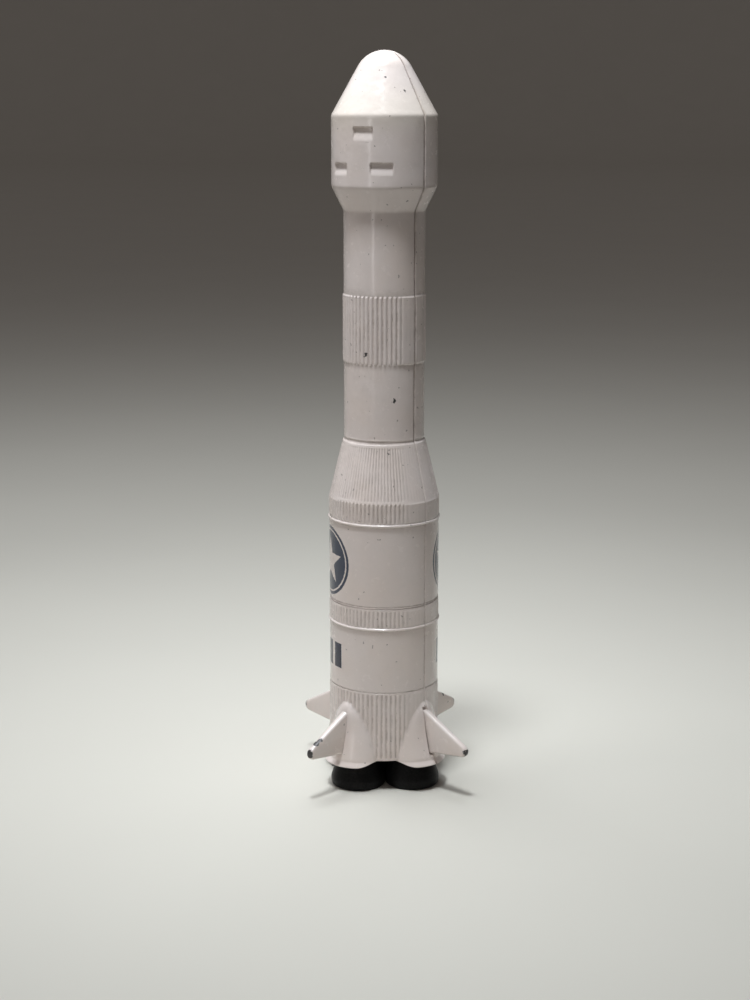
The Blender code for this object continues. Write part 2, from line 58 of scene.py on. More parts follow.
# Places below are millimetres, as heights above the floor and distances from the rocket's axis.
FLOOR_RIM = 5.95
FIRST_TOP = 54.36
REAR_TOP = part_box("rear_lower_shell")[1][2] / MM
THIRD_TOP = 106.14
FAIRING_LOW = 110.35
SHOULDER = 122.75
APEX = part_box("front_shell")[1][2] / MM
COVER_RIM = 64.92
BODY = 10.12
SLIM = 7.33
FAIRING = 9.46
BALL = 5.4
WALL = 1.2
COWL_TOP = 16.8
COWL_RIM = 4.7
COWL_LIP = 5.6
COWL_LIP_FLARE = 0.4
COWL_TOP_OFFSET = 5.22
COWL_FOOT_OFFSET = 7.0
COWL_TOP_RADIUS = 4.8
COWL_SPREAD = 1.1
COWL_LINE_TOP = 10.02
COWL_LINE_FOOT = 12.9
# Rounded tops of the cowls, by height: half their width and how far they stand out of the body.
CAP_HEIGHTS = (11.0, 11.5, 12.5, 13.7, 14.5, 15.2, 15.9, 16.3, 16.5)
CAP_HALVES = (4.43, 4.2, 3.75, 3.2, 2.7, 2.1, 1.35, 0.8, 0.0)
CAP_PROUD = (1.32, 1.27, 1.17, 1.05, 0.94, 0.8, 0.55, 0.3, 0.0)
HINGE_Y = 7.63
HINGE_Z = 64.745
HINGE_RADIUS = 0.92
PIN_RADIUS = 0.4
KNUCKLE_HALF = 0.95
LUG_IN = 1.25
LUG_OUT = 2.3
SCREW_HEIGHTS = {"lower_screw": 24.5, "upper_screw": 47.46}
SCREW_SEAT = 9.0
DECK_LOW = 9.5
DECK_HIGH = 10.7
BAY_FLOOR = REAR_TOP - 0.3
SLIM_FLOOR_RADIUS = SLIM - WALL + 0.3
BODY_FLOOR_RADIUS = BODY - WALL + 0.3
BELL_OFFSET = 7.1
PARTING_LOW = 0.05
PARTING_HIGH = 0.13
ENAMEL = "white_enamel_gloss"
VIEW_TURN = 42.0
TOP_LIGHT = (0.91, 0.965, 1.0)
ROOM_LIGHT = (1.0, 0.93, 0.91)
# The inside of a shell keeps one column in four and one row in three of its skin.
INNER_COLUMNS = 4
INNER_ROWS = 3
# Height where the drop of the bottom rim has faded out.
RIM_FADE = 9.0

# Ribbed bands: low edge, high edge, ribs round the whole circle, groove depth, raise of the band.
RIBBED_BANDS = (
    (79.29, 91.26, 54, 0.26, 0.19),
    (54.9, 64.2, 100, 0.10, 0.0),
    (50.94, 54.36, 80, 0.16, 0.06),
    (31.46, 34.4, 80, 0.16, 0.06),
    (6.45, 18.54, 72, 0.22, 0.05),
)
# Turned beads (raised) and grooves (sunk): height, half width, depth.
BEADS = ((50.41, 0.24, 0.22), (31.05, 0.24, 0.22))
GROOVES = ((34.95, 0.12, 0.12), (35.3, 0.12, 0.10), (19.04, 0.12, 0.12), (65.1, 0.42, 0.17))
# Hatches sunk in the front fairing: turn from the front, height, half width, half height.
HATCHES = ((18.2, 119.6, 1.85, 1.15), (39.0, 113.6, 2.0, 1.05), (-13.5, 113.5, 1.85, 1.05))


def smooth_step(low, high, value):
    """Smooth rise from 0 to 1 between two values, or a fall when they are swapped."""
    share = np.clip((value - low) / (high - low), 0.0, 1.0)
    return share * share * (3.0 - 2.0 * share)


def hump(value, centre, half):
    """Round hump of height 1 about a centre, 0 past its half width."""
    return np.clip(1.0 - ((value - centre) / half) ** 2, 0.0, 1.0)


def rounded_loss(distance, radius):
    """How far a rounded edge falls back at a distance from the edge."""
    inside = np.clip(radius - distance, 0.0, radius)
    return radius - np.sqrt(np.maximum(radius * radius - inside * inside, 0.0))


def parting(height):
    """Half the gap between the halves: nearly closed below the cover, open along it."""
    share = smooth_step(COVER_RIM - 1.0, COVER_RIM + 1.0, height)
    return PARTING_LOW + (PARTING_HIGH - PARTING_LOW) * share


def nose_centre():
    """Height of the middle of the nose's ball."""
    return APEX - BALL


def nose_contact():
    """Angle above the horizon where the nose's ball meets its cone."""
    rise = nose_centre() - SHOULDER
    return pi / 2 - (atan2(rise, FAIRING) + asin(BALL / hypot(rise, FAIRING)))


def body_radius(height, thickness=0.0):
    """Turned outline of the body, or of its inside when given the wall's thickness."""
    heights = np.arange(3.0, APEX + 1.0, 0.02)
    points = [(3.0, BODY), (FIRST_TOP, BODY), (REAR_TOP, SLIM), (THIRD_TOP, SLIM),
              (FAIRING_LOW, FAIRING), (SHOULDER, FAIRING)]
    contact = nose_contact()
    ball_radius = BALL - thickness
    touch_low = nose_centre() + ball_radius * sin(contact)
    touch_radius = ball_radius * cos(contact)
    line = [(z, r - thickness) for z, r in points]
    line[-1] = (SHOULDER - thickness * 0.6, FAIRING - thickness)
    line.append((touch_low, touch_radius))
    radii = np.interp(heights, [p[0] for p in line], [p[1] for p in line])
    ball = np.sqrt(np.maximum(ball_radius ** 2 - (heights - nose_centre()) ** 2, 0.0))
    radii = np.where(heights > touch_low, ball, radii)
    kernel = np.exp(-np.linspace(-3.0, 3.0, 61) ** 2 / 2.0)
    padded = np.pad(radii, 30, mode="edge")
    soft = np.convolve(padded, kernel / kernel.sum(), mode="valid")
    nose = smooth_step(APEX - 4.0, APEX - 3.0, heights)
    return np.interp(height, heights, soft * (1.0 - nose) + radii * nose)


def from_cowl(angle):
    """Turn from the middle of the nearest cowl."""
    return np.abs((angle + pi / 4) % (pi / 2) - pi / 4)


def cowl_radius(angle, height, thickness=0.0):
    """Leaning cones over the engines, one every quarter turn; zero between them."""
    share = (COWL_TOP - height) / (COWL_TOP - COWL_RIM)
    offset = COWL_TOP_OFFSET + (COWL_FOOT_OFFSET - COWL_TOP_OFFSET) * share
    radius = COWL_TOP_RADIUS + COWL_SPREAD * np.minimum((COWL_TOP - height) / (COWL_TOP - COWL_LIP), 1.0)
    if thickness == 0.0:
        radius = radius + COWL_LIP_FLARE * smooth_step(COWL_LIP + 0.15, COWL_RIM + 0.25, height)
    half = np.interp(height, CAP_HEIGHTS, CAP_HALVES)
    proud = np.interp(height, CAP_HEIGHTS, CAP_PROUD)
    bow = BODY + proud - np.sqrt(BODY ** 2 - half ** 2)
    cap = (half ** 2 + bow ** 2) / (2.0 * np.maximum(bow, 0.001))
    is_cap = height > CAP_HEIGHTS[0]
    offset = np.where(is_cap, BODY + proud - cap, offset)
    radius = np.where(is_cap, cap, radius) - thickness
    quarter = from_cowl(angle)
    across = offset * np.sin(quarter)
    leaning = (across < radius) & (height < COWL_TOP + 4.0)
    return np.where(leaning, offset * np.cos(quarter)
                    + np.sqrt(np.maximum(radius ** 2 - across ** 2, 0.0)), 0.0)


def smooth_max(first, second, blend):
    """Larger of two values, with a soft join where they are close."""
    share = np.clip(0.5 + 0.5 * (first - second) / blend, 0.0, 1.0)
    return second + (first - second) * share + blend * share * (1.0 - share)


def rim_height(angle):
    """Height of the bottom rim, which drops to the foot of each cowl."""
    quarter = from_cowl(angle)
    return COWL_RIM + 0.12 + 0.98 * smooth_step(radians(17.0), radians(37.0), quarter)


def outer_surface(settings, angle, height, is_front):
    """Radius of the outer skin at a turn from the middle of its half, and its grime with painted shade in
    grooves and creases.
    """
    body = body_radius(height)
    grime_and_shade = np.zeros_like(body)
    fade = 1.0 - smooth_step(radians(56.0), radians(74.0), np.abs(angle))
    if is_front:
        fade = fade * (0.35 + 0.65 * smooth_step(radians(-22.0), radians(-4.0), angle))
    for low, high, count, depth, rise in RIBBED_BANDS:
        window = smooth_step(low - 0.14, low + 0.10, height)
        window = window * smooth_step(high + 0.14, high - 0.10, height)
        groove = (0.5 + 0.5 * np.cos(count * angle)) ** 2
        body = body + window * (rise - depth * settings.rib_depth * groove * fade)
        # Painted shade and grime in the rib grooves and beside the raised band edges.
        grime_and_shade = np.maximum(grime_and_shade, window * groove * (0.25 + 0.75 * fade))
        for edge, side in ((low, -1.0), (high, 1.0)):
            if rise > 0.1:
                grime_and_shade = np.maximum(grime_and_shade, 0.8 * hump(height, edge + side * 0.18, 0.22))
    for centre, half, depth in BEADS:
        body = body + depth * np.sqrt(hump(height, centre, half))
        # Painted shade and grime beside each bead.
        grime_and_shade = np.maximum(grime_and_shade, 0.7 * hump(height, centre - half - 0.1, 0.16))
        grime_and_shade = np.maximum(grime_and_shade, 0.7 * hump(height, centre + half + 0.1, 0.16))
    for centre, half, depth in GROOVES:
        body = body - depth * hump(height, centre, half)
        # Painted shade and grime in each turned groove.
        grime_and_shade = np.maximum(grime_and_shade, 0.8 * hump(height, centre, half * 1.4))
    cowl = cowl_radius(angle, height)
    # Grime and painted shade are kept off the cowls and laid in the crease where each cowl meets the body.
    grime_and_shade = grime_and_shade * (1.0 - smooth_step(-0.05, 0.1, cowl - body))
    near_cowl = 1.0 - np.clip(np.abs(cowl - body) / 0.3, 0.0, 1.0)
    grime_and_shade = np.maximum(grime_and_shade, np.where(cowl > 0.0, 0.6 * near_cowl, 0.0))
    cowl = cowl - np.where(cowl > 0.0, 0.07 * hump(height, COWL_LIP + 0.25, 0.14), 0.0)
    radius = np.where(cowl > 0.0, smooth_max(cowl, body, 0.12), body)
    if is_front:
        for turn, centre, half_width, half_height in HATCHES:
            across = np.abs((angle - radians(turn)) * FAIRING) - half_width
            along = np.abs(height - centre) - half_height
            edge = np.hypot(np.maximum(across + 0.4, 0.0), np.maximum(along + 0.4, 0.0)) - 0.4
            edge = np.maximum(edge, np.maximum(across, along))
            sunk = 1.0 - smooth_step(-0.14, 0.12, edge)
            scoop = smooth_step(centre - half_height - 0.2, centre + half_height * 0.55, height)
            radius = radius - sunk * 0.38 * scoop
            # Painted shade along the hatch's edge, strongest at its upper edge where the scoop is deepest.
            grime_and_shade = np.maximum(grime_and_shade, 0.8 * hump(edge, 0.0, 0.22) * scoop)
    radius = radius + 0.012 * np.sin(7.0 * angle + 0.23 * height) * np.sin(0.61 * height + 1.3)
    return radius, grime_and_shade


def row_heights(low, high, fine):
    """Heights of the rows of a shell: sparse on plain walls and close over fine relief."""
    rows = list(np.arange(low, high, 1.5)) + [high]
    for start, stop, step in fine:
        if stop > low and start < high:
            count = max(1, round((stop - start) / step))
            rows += list(np.linspace(max(start, low), min(stop, high), count + 1))
    rows = sorted(rows)
    kept = [rows[0]]
    for row in rows[1:]:
        if row - kept[-1] > 0.045:
            kept.append(row)
    kept[-1] = high
    return kept


def relief_spans():
    """Stretches of height that hold beads, grooves, band edges, corners and rims."""
    spans = [(c - h - 0.25, c + h + 0.25, 0.06) for c, h, _ in BEADS + GROOVES]
    for low, high, *_ in RIBBED_BANDS:
        spans += [(low - 0.3, low + 0.3, 0.12), (high - 0.3, high + 0.3, 0.12)]
    spans += [(c - 0.5, c + 0.5, 0.16) for c in (FIRST_TOP, THIRD_TOP, FAIRING_LOW, SHOULDER)]
    spans += [(FLOOR_RIM, 6.5, 0.08), (6.5, COWL_TOP + 0.6, 0.34)]
    return spans


def add_row(rows, step):
    """Adds rows halfway up until their count is one over a multiple of a step."""
    while len(rows) % step != 1:
        middle = len(rows) // 2
        rows.insert(middle, 0.5 * (rows[middle - 1] + rows[middle]))
    return np.array(rows)


def nose_rows(low, spans):
    """Rows of a shell that reaches the tip: by height up to the nose's ball, then round the ball."""
    contact = nose_contact()
    tip = asin(sqrt(BALL ** 2 - PARTING_HIGH ** 2) / BALL)
    rows = row_heights(low, nose_centre() + BALL * sin(contact), spans)
    return rows + [nose_centre() + BALL * sin(turn) for turn in np.linspace(contact, tip, 22)[1:]]


def columns(settings):
    """Places across half a turn, from -1 to 1, crowded next to the parting line."""
    half_turn = pi * BODY
    edge = [0.0, 0.02, 0.05, 0.09, 0.14, 0.2, 0.28, 0.36]
    edge += list(np.arange(0.46, 1.55, 0.1))
    middle = np.linspace(1.6, half_turn - 1.6, settings.columns)
    places = edge + list(middle) + [half_turn - value for value in reversed(edge)]
    return add_row(places, INNER_COLUMNS) / half_turn * 2.0 - 1.0


def cast_shell(work, settings, facing, rows, top, bottom, shape):
    """Closed slab of rows by columns laid on the outer skin, with the inside wall behind it."""
    across = columns(settings)
    rows = add_row(rows, INNER_ROWS)
    bmesh.ops.create_grid(work, x_segments=len(across) - 1, y_segments=len(rows) - 1, size=0.5)
    grown = bmesh.ops.extrude_face_region(work, geom=work.faces[:] + work.edges[:] + work.verts[:],
                                          use_keep_orig=True)
    inner = {part for part in grown["geom"] if isinstance(part, bmesh.types.BMVert)}
    work.verts.ensure_lookup_table()
    flat = np.array([vert.co[:2] for vert in work.verts])
    is_inner = np.array([vert in inner for vert in work.verts])
    column = np.rint((flat[:, 0] + 0.5) * (len(across) - 1)).astype(int)
    row = np.rint((flat[:, 1] + 0.5) * (len(rows) - 1)).astype(int)
    coarse = np.rint(column / INNER_COLUMNS).astype(int) * INNER_COLUMNS
    column = np.where(is_inner, coarse, column)
    coarse = np.rint(row / INNER_ROWS).astype(int) * INNER_ROWS
    row = np.where(is_inner, np.minimum(coarse, len(rows) - 1), row)
    share = across[column]
    height = rows[row]
    gap = parting(height)
    reach = body_radius(height)
    for _ in range(2):
        limit = np.arccos(np.clip(gap / np.maximum(reach, gap), -1.0, 1.0))
        angle = share * limit
        lifted = height
        if bottom == FLOOR_RIM:
            rim = rim_height(angle)
            dropped = rim + (height - FLOOR_RIM) * (RIM_FADE - rim) / (RIM_FADE - FLOOR_RIM)
            lifted = np.where(height < RIM_FADE, dropped, height)
        reach, grime_and_shade = outer_surface(settings, angle, lifted, facing < 0)
    radius, grime_and_shade = shape(reach, grime_and_shade, angle, lifted, facing)
    radius = np.where(lifted > APEX - 1.2, np.minimum(radius, body_radius(lifted)), radius)
    from_seam = radius * (limit - np.abs(angle))
    loss = rounded_loss(from_seam, settings.seam_round)
    rim = rim_height(angle) if bottom == FLOOR_RIM else bottom
    loss = np.maximum(loss, rounded_loss(lifted - rim, settings.rim_round))
    if top < APEX - 1.0:
        loss = np.maximum(loss, rounded_loss(top - lifted, settings.rim_round))
    # Painted shade and grime along the parting line, stronger along the cover where the slit opens.
    seam_dirt_and_shade = 0.35 + 0.5 * smooth_step(60.0, 68.0, lifted)
    grime_and_shade = np.maximum(grime_and_shade, seam_dirt_and_shade * hump(from_seam, 0.0, 0.35))
    radius = np.maximum(radius - loss, gap)
    lean = smooth_step(SHOULDER, APEX - BALL * 0.2, lifted)
    inner_height = lifted - WALL * lean * is_inner
    inside = smooth_max(body_radius(inner_height, WALL),
                        cowl_radius(angle, inner_height, WALL), 0.2)
    inside = np.minimum(inside, radius - 0.35)
    final = np.where(is_inner, np.maximum(inside, gap), radius)
    final_height = np.where(is_inner, inner_height, lifted)
    turn = np.where(is_inner, share * np.arccos(np.clip(gap / final, -1.0, 1.0)), angle)
    from_plane = np.maximum(final * np.cos(turn), gap)
    places = np.stack([final * np.sin(turn), facing * from_plane, final_height], axis=1)
    layer = work.verts.layers.float.new("grime_and_shade")
    # The inside wall takes a fixed share of grime and painted shade.
    values = np.where(is_inner, 0.25, grime_and_shade)
    for vert, place, value in zip(work.verts, places.tolist(), values.tolist()):
        vert.co = place
        vert[layer] = value
    bmesh.ops.remove_doubles(work, verts=work.verts[:], dist=0.004)
    bmesh.ops.dissolve_degenerate(work, dist=0.0005, edges=work.edges[:])
    bmesh.ops.recalc_face_normals(work, faces=work.faces[:])


def absorb(work, part):
    """Adds a finished bmesh to a bigger one and frees it."""
    mesh = bpy.data.meshes.new("part")
    part.to_mesh(mesh)
    part.free()
    work.from_mesh(mesh)
    bpy.data.meshes.remove(mesh)


def slice_part(part, point, normal, clear=False):
    """Cuts a whole bmesh along a plane, and clears the side the normal points to if told to."""
    return bmesh.ops.bisect_plane(part, geom=part.verts[:] + part.edges[:] + part.faces[:], dist=0.0001,
                                  plane_co=point, plane_no=normal, clear_outer=clear)


def turned(work, profile, segments, place=Matrix.Identity(4), keep=None):
    """Profile of (radius, height) points spun a full turn about Z, cut to one side, then placed."""
    part = bmesh.new()
    verts = [part.verts.new((radius, 0.0, height)) for radius, height in profile]
    edges = [part.edges.new(pair) for pair in zip(verts, verts[1:])]
    if profile[0][0] > 0.0 and profile[-1][0] > 0.0:
        edges.append(part.edges.new((verts[-1], verts[0])))
    bmesh.ops.spin(part, geom=verts + edges, cent=(0, 0, 0), axis=(0, 0, 1), angle=2 * pi,
                   steps=segments, use_merge=True, use_duplicate=False)
    bmesh.ops.remove_doubles(part, verts=part.verts[:], dist=0.0004)
    if keep:
        cut = slice_part(part, (0.0, keep * PARTING_HIGH, 0.0), (0.0, -keep, 0.0), True)
        rim = [item for item in cut["geom_cut"] if isinstance(item, bmesh.types.BMEdge)]
        bmesh.ops.contextual_create(part, geom=rim)
    bmesh.ops.recalc_face_normals(part, faces=part.faces[:])
    bmesh.ops.transform(part, matrix=place, verts=part.verts[:])
    absorb(work, part)


def rounded_box(work, low, high, rounding, segments=2):
    """Block between two corners with its edges rounded."""
    part = bmesh.new()
    low, high = Vector(low), Vector(high)
    bmesh.ops.create_cube(part, size=1.0)
    bmesh.ops.scale(part, vec=high - low, verts=part.verts[:])
    bmesh.ops.translate(part, vec=(low + high) / 2, verts=part.verts[:])
    bmesh.ops.bevel(part, geom=part.edges[:], offset=rounding, segments=segments, profile=0.5,
                    affect="EDGES", material=-1)
    absorb(work, part)


def along_y(y, x=0.0, z=0.0):
    """Placement that lays a shape turned about Z along Y."""
    return Matrix.Translation((x, y, z)) @ Matrix.Rotation(-pi / 2, 4, "X")


def along_x(x, y, z):
    """Placement that lays a shape turned about Z along X."""
    return Matrix.Translation((x, y, z)) @ Matrix.Rotation(pi / 2, 4, "Y")


def cowl_line(height):
    """Distance from the axis to the middle of a cowl at a height."""
    return COWL_LINE_TOP + (COWL_LINE_FOOT - COWL_LINE_TOP) * (COWL_TOP - height) / (COWL_TOP - COWL_RIM)


def fin(work, settings, azimuth):
    """Swept fin: a bevelled slab that thins towards its tip and flares into its cowl."""
    half = settings.fin_root / 2
    outline = [(cowl_line(15.0) - 0.5, 15.05), (cowl_line(15.0) + 0.3, 14.95), (20.62, 9.62),
               (20.28, 7.98), (cowl_line(6.95) - 0.5, 6.95)]
    part = bmesh.new()
    face = part.faces.new([part.verts.new((out, -half, up)) for out, up in outline])
    grown = bmesh.ops.extrude_face_region(part, geom=[face])
    moved = [item for item in grown["geom"] if isinstance(item, bmesh.types.BMVert)]
    bmesh.ops.translate(part, vec=(0.0, 2 * half, 0.0), verts=moved)
    tips = [edge for edge in part.edges if edge.verts[0].co.x > 18.0
            and abs(edge.verts[0].co.y - edge.verts[1].co.y) > half]
    bmesh.ops.bevel(part, geom=tips, offset=0.75, segments=4, profile=0.5, affect="EDGES", material=-1)
    border = [edge for edge in part.edges if abs(edge.verts[0].co.y - edge.verts[1].co.y) < 0.01]
    bmesh.ops.bevel(part, geom=border, offset=settings.fin_edge, segments=5, profile=0.5,
                    affect="EDGES", material=-1)
    slope = (COWL_LINE_FOOT - COWL_LINE_TOP) / (COWL_TOP - COWL_RIM)
    for cut in (-0.1, 0.0, 0.12, 0.26, 0.42, 0.6, 0.8, 1.4, 2.2, 3.2, 4.4, 5.6, 6.8):
        slice_part(part, (cowl_line(10.0) + cut, 0.0, 10.0), (1.0, 0.0, slope))
    layer = part.verts.layers.float.new("grime_and_shade")
    for vert in part.verts:
        away = max(vert.co.x - cowl_line(vert.co.z), 0.0)
        flare = max(0.0, 1.0 - away / 0.8) ** 2
        vert.co.y *= 1.02 - 0.2 * min(away / 8.0, 1.0) + 0.06 * flare
        lift = flare * 0.12
        vert.co.z += lift if vert.co.z > 14.0 else (-lift if vert.co.z < 7.6 else 0.0)
        # Painted shade and grime in the crease where the fin flares into its cowl.
        vert[layer] = 0.6 * flare
    bmesh.ops.recalc_face_normals(part, faces=part.faces[:])
    bmesh.ops.rotate(part, verts=part.verts[:], cent=(0, 0, 0), matrix=Matrix.Rotation(azimuth, 3, "Z"))
    absorb(work, part)


def fin_notch(radius, grime_and_shade, angle, height, facing):
    """Sinks the skin round the root of the fin that belongs to the other half."""
    side = 1.0 if facing < 0 else -1.0
    away = radius * np.cos(angle)
    near = smooth_step(1.02, 0.9, away) * smooth_step(6.6, 6.7, height)
    near = near * smooth_step(15.45, 15.3, height)
    sunk = near * np.where(side * np.sin(angle) > 0.0, 1.0, 0.0)
    # The sunk ring round the fin root is darkened with painted shade and grime.
    return radius - 0.7 * sunk, np.maximum(grime_and_shade, sunk)


def hinge_relief(low_x, high_x):
    """Hollow round a barrel of the hinge, so that the pieces clear as the cover swings."""
    def shape(radius, grime_and_shade, angle, height, facing):
        across = np.abs(radius * np.sin(angle))
        window = smooth_step(low_x - 0.15, low_x, across)
        window = window * smooth_step(high_x + 0.15, high_x, across)
        clear = HINGE_RADIUS + 0.3
        drop = np.abs(height - HINGE_Z)
        inner_y = HINGE_Y - np.sqrt(np.maximum(clear ** 2 - drop ** 2, 0.0))
        wanted = inner_y / np.maximum(np.cos(angle), 0.2)
        near = window * np.where((drop < clear) & (wanted < radius), 1.0, 0.0)
        # The hollow is darkened with painted shade and grime.
        return radius + near * (wanted - radius), np.maximum(grime_and_shade, 0.7 * near)
    return shape


def screw_seats(radius, grime_and_shade, angle, height, facing):
    """Counterbores for the heads of the two screws."""
    for level in SCREW_HEIGHTS.values():
        away = np.hypot(radius * np.sin(angle), height - level)
        sunk = smooth_step(1.98, 1.86, away)
        bottom = SCREW_SEAT / np.maximum(np.cos(angle), 0.2)
        radius = radius + sunk * (bottom - radius)
        # Painted shade and grime round the rim of each counterbore.
        grime_and_shade = np.maximum(grime_and_shade, 0.9 * hump(away, 1.95, 0.25))
    return radius, grime_and_shade


def half_floor(work, facing, low, high, radius):
    """Half-round floor across the inside of a shell."""
    turned(work, [(0.0, low), (radius, low), (radius, high), (0.0, high)], 64, keep=facing)


def finish_piece(name, work, material, body, nodes, angle=40.0):
    """Object from a bmesh in millimetres, placed, given its finish and body, with the CAD nodes it stands for
    hidden.
    """
    bmesh.ops.scale(work, vec=(MM, MM, MM), verts=work.verts[:])
    mesh = bpy.data.meshes.new(name)
    work.to_mesh(mesh)
    work.free()
    mesh.materials.append(material)
    mesh.shade_smooth()
    mesh.set_sharp_from_angle(angle=radians(angle))
    piece = bpy.data.objects.new(name, mesh)
    bpy.context.scene.collection.objects.link(piece)
    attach(piece, body)
    if nodes:
        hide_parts(*nodes)
    return piece


class Finish:
    """A material whose nodes are added one after another."""

    def __init__(self, name):
        self.material = bpy.data.materials.get(name) or bpy.data.materials.new(name)
        self.material.use_nodes = True
        self.tree = self.material.node_tree
        self.tree.nodes.clear()
        self.shader = self.tree.nodes.new("ShaderNodeBsdfPrincipled")
        out = self.tree.nodes.new("ShaderNodeOutputMaterial")
        self.tree.links.new(self.shader.outputs[0], out.inputs["Surface"])
        self.place = self.tree.nodes.new("ShaderNodeTexCoord").outputs["Object"]

    def feed(self, socket, value):
        if isinstance(value, bpy.types.NodeSocket):
            self.tree.links.new(value, socket)
        elif value is not None:
            socket.default_value = value

    def math(self, operation, first, second=None, third=None, clamp=False):
        """Result of a math node, whose inputs are sockets or numbers."""
        node = self.tree.nodes.new("ShaderNodeMath")
        node.operation = operation
        node.use_clamp = clamp
        for socket, value in zip(node.inputs, (first, second, third)):
            self.feed(socket, value)
        return node.outputs[0]

    def times(self, first, second, clamp=False):
        return self.math("MULTIPLY", first, second, clamp=clamp)

    def plus(self, first, second):
        return self.math("ADD", first, second)

    def minus(self, first, second):
        return self.math("SUBTRACT", first, second)

    def size(self, value):
        return self.math("ABSOLUTE", value)

    def greater(self, first, second):
        return self.math("MAXIMUM", first, second)

    def noise(self, scale, detail=3.0, roughness=0.55, place=None, distortion=0.0):
        node = self.tree.nodes.new("ShaderNodeTexNoise")
        self.feed(node.inputs["Vector"], place or self.place)
        for label, value in (("Scale", scale), ("Detail", detail), ("Roughness", roughness),
                             ("Distortion", distortion)):
            node.inputs[label].default_value = value
        return node.outputs["Fac"]

    def span(self, value, low, high, to_low=0.0, to_high=1.0):
        node = self.tree.nodes.new("ShaderNodeMapRange")
        node.interpolation_type = "SMOOTHSTEP"
        for label, number in (("Value", value), ("From Min", low), ("From Max", high),
                              ("To Min", to_low), ("To Max", to_high)):
            self.feed(node.inputs[label], number)
        return node.outputs["Result"]

    def mix(self, share, first, second, blend="MIX"):
        node = self.tree.nodes.new("ShaderNodeMix")
        node.data_type = "RGBA"
        node.blend_type = blend
        for socket, value in ((node.inputs[0], share), (node.inputs[6], first), (node.inputs[7], second)):
            self.feed(socket, value)
        return node.outputs[2]

    def attribute(self, name):
        node = self.tree.nodes.new("ShaderNodeAttribute")
        node.attribute_name = name
        return node.outputs["Fac"]

    def axes(self):
        node = self.tree.nodes.new("ShaderNodeSeparateXYZ")
        self.feed(node.inputs[0], self.place)
        return node.outputs

    def stretched(self, scale, turn=(0.0, 0.0, 0.0)):
        node = self.tree.nodes.new("ShaderNodeMapping")
        self.feed(node.inputs["Vector"], self.place)
        node.inputs["Scale"].default_value = scale
        node.inputs["Rotation"].default_value = turn
        return node.outputs[0]

    def distance(self, point):
        node = self.tree.nodes.new("ShaderNodeVectorMath")
        node.operation = "DISTANCE"
        self.feed(node.inputs[0], self.place)
        node.inputs[1].default_value = point
        return node.outputs["Value"]

    def bump(self, height, distance, strength=1.0, below=None):
        node = self.tree.nodes.new("ShaderNodeBump")
        node.inputs["Strength"].default_value = strength
        node.inputs["Distance"].default_value = distance
        self.feed(node.inputs["Height"], height)
        self.feed(node.inputs["Normal"], below)
        return node.outputs["Normal"]

    def set(self, **values):
        for label, value in values.items():
            self.feed(self.shader.inputs[label.replace("_", " ")], value)
        return self.material


def on_skin(turn, height, radius):
    """Point in metres on the outer skin, at a turn in degrees from the front."""
    return (radius * MM * sin(radians(turn)), -radius * MM * cos(radians(turn)), height * MM)


# Chips through the enamel: centre in metres and radius in millimetres.
CHIPS = (
    (on_skin(15.6, 81.0, SLIM + 0.1), 0.42),
    (on_skin(57.1, 72.8, SLIM), 0.34),
    (on_skin(47.1, 64.0, 7.5), 0.14),
    (on_skin(48.3, 63.3, 7.7), 0.12),
    (on_skin(43.2, 129.2, 6.0), 0.15),
    (on_skin(70.4, 126.8, 7.2), 0.17),
    ((0.0, -0.0207, 0.0092), 1.0),
    ((0.0, -0.0187, 0.0109), 0.72),
    ((0.0003, -0.0180, 0.0113), 0.6),
    ((0.0206, 0.0, 0.0088), 0.85),
    ((-0.0205, 0.0, 0.0090), 0.9),
    ((0.0, 0.0206, 0.0092), 0.8),
    ((0.0005, 0.0168, 0.0118), 0.5),
    (on_skin(205.0, 131.0, 4.7), 0.4),
    (on_skin(160.0, 84.0, SLIM), 0.35),
    (on_skin(-30.0, 51.0, BODY), 0.3),
)


def mark_place(finish, turn, height):
    """Arc and height in millimetres from the middle of a mark printed on the body."""
    axes = finish.axes()
    around = finish.math("ARCTAN2", axes[0], finish.times(axes[1], -1.0))
    offset = finish.math("WRAP", finish.minus(around, radians(turn)), pi, -pi)
    across = finish.times(offset, BODY)
    along = finish.minus(finish.times(axes[2], 1.0 / MM), height)
    return across, along


def star_mask(finish, across, along, tip, notch):
    """Distance in millimetres outside a five-pointed star's edge, and from its middle."""
    around = finish.math("ARCTAN2", across, along)
    fold = finish.size(finish.math("WRAP", around, pi / 5, -pi / 5))
    reach = finish.math("SQRT", finish.plus(finish.times(across, across), finish.times(along, along)))
    first = finish.times(reach, finish.math("COSINE", fold))
    second = finish.times(reach, finish.math("SINE", fold))
    run = Vector((notch * cos(pi / 5) - tip, notch * sin(pi / 5))).normalized()
    forward = finish.times(finish.minus(first, tip), run.y)
    return finish.plus(forward, finish.times(second, -run.x)), reach


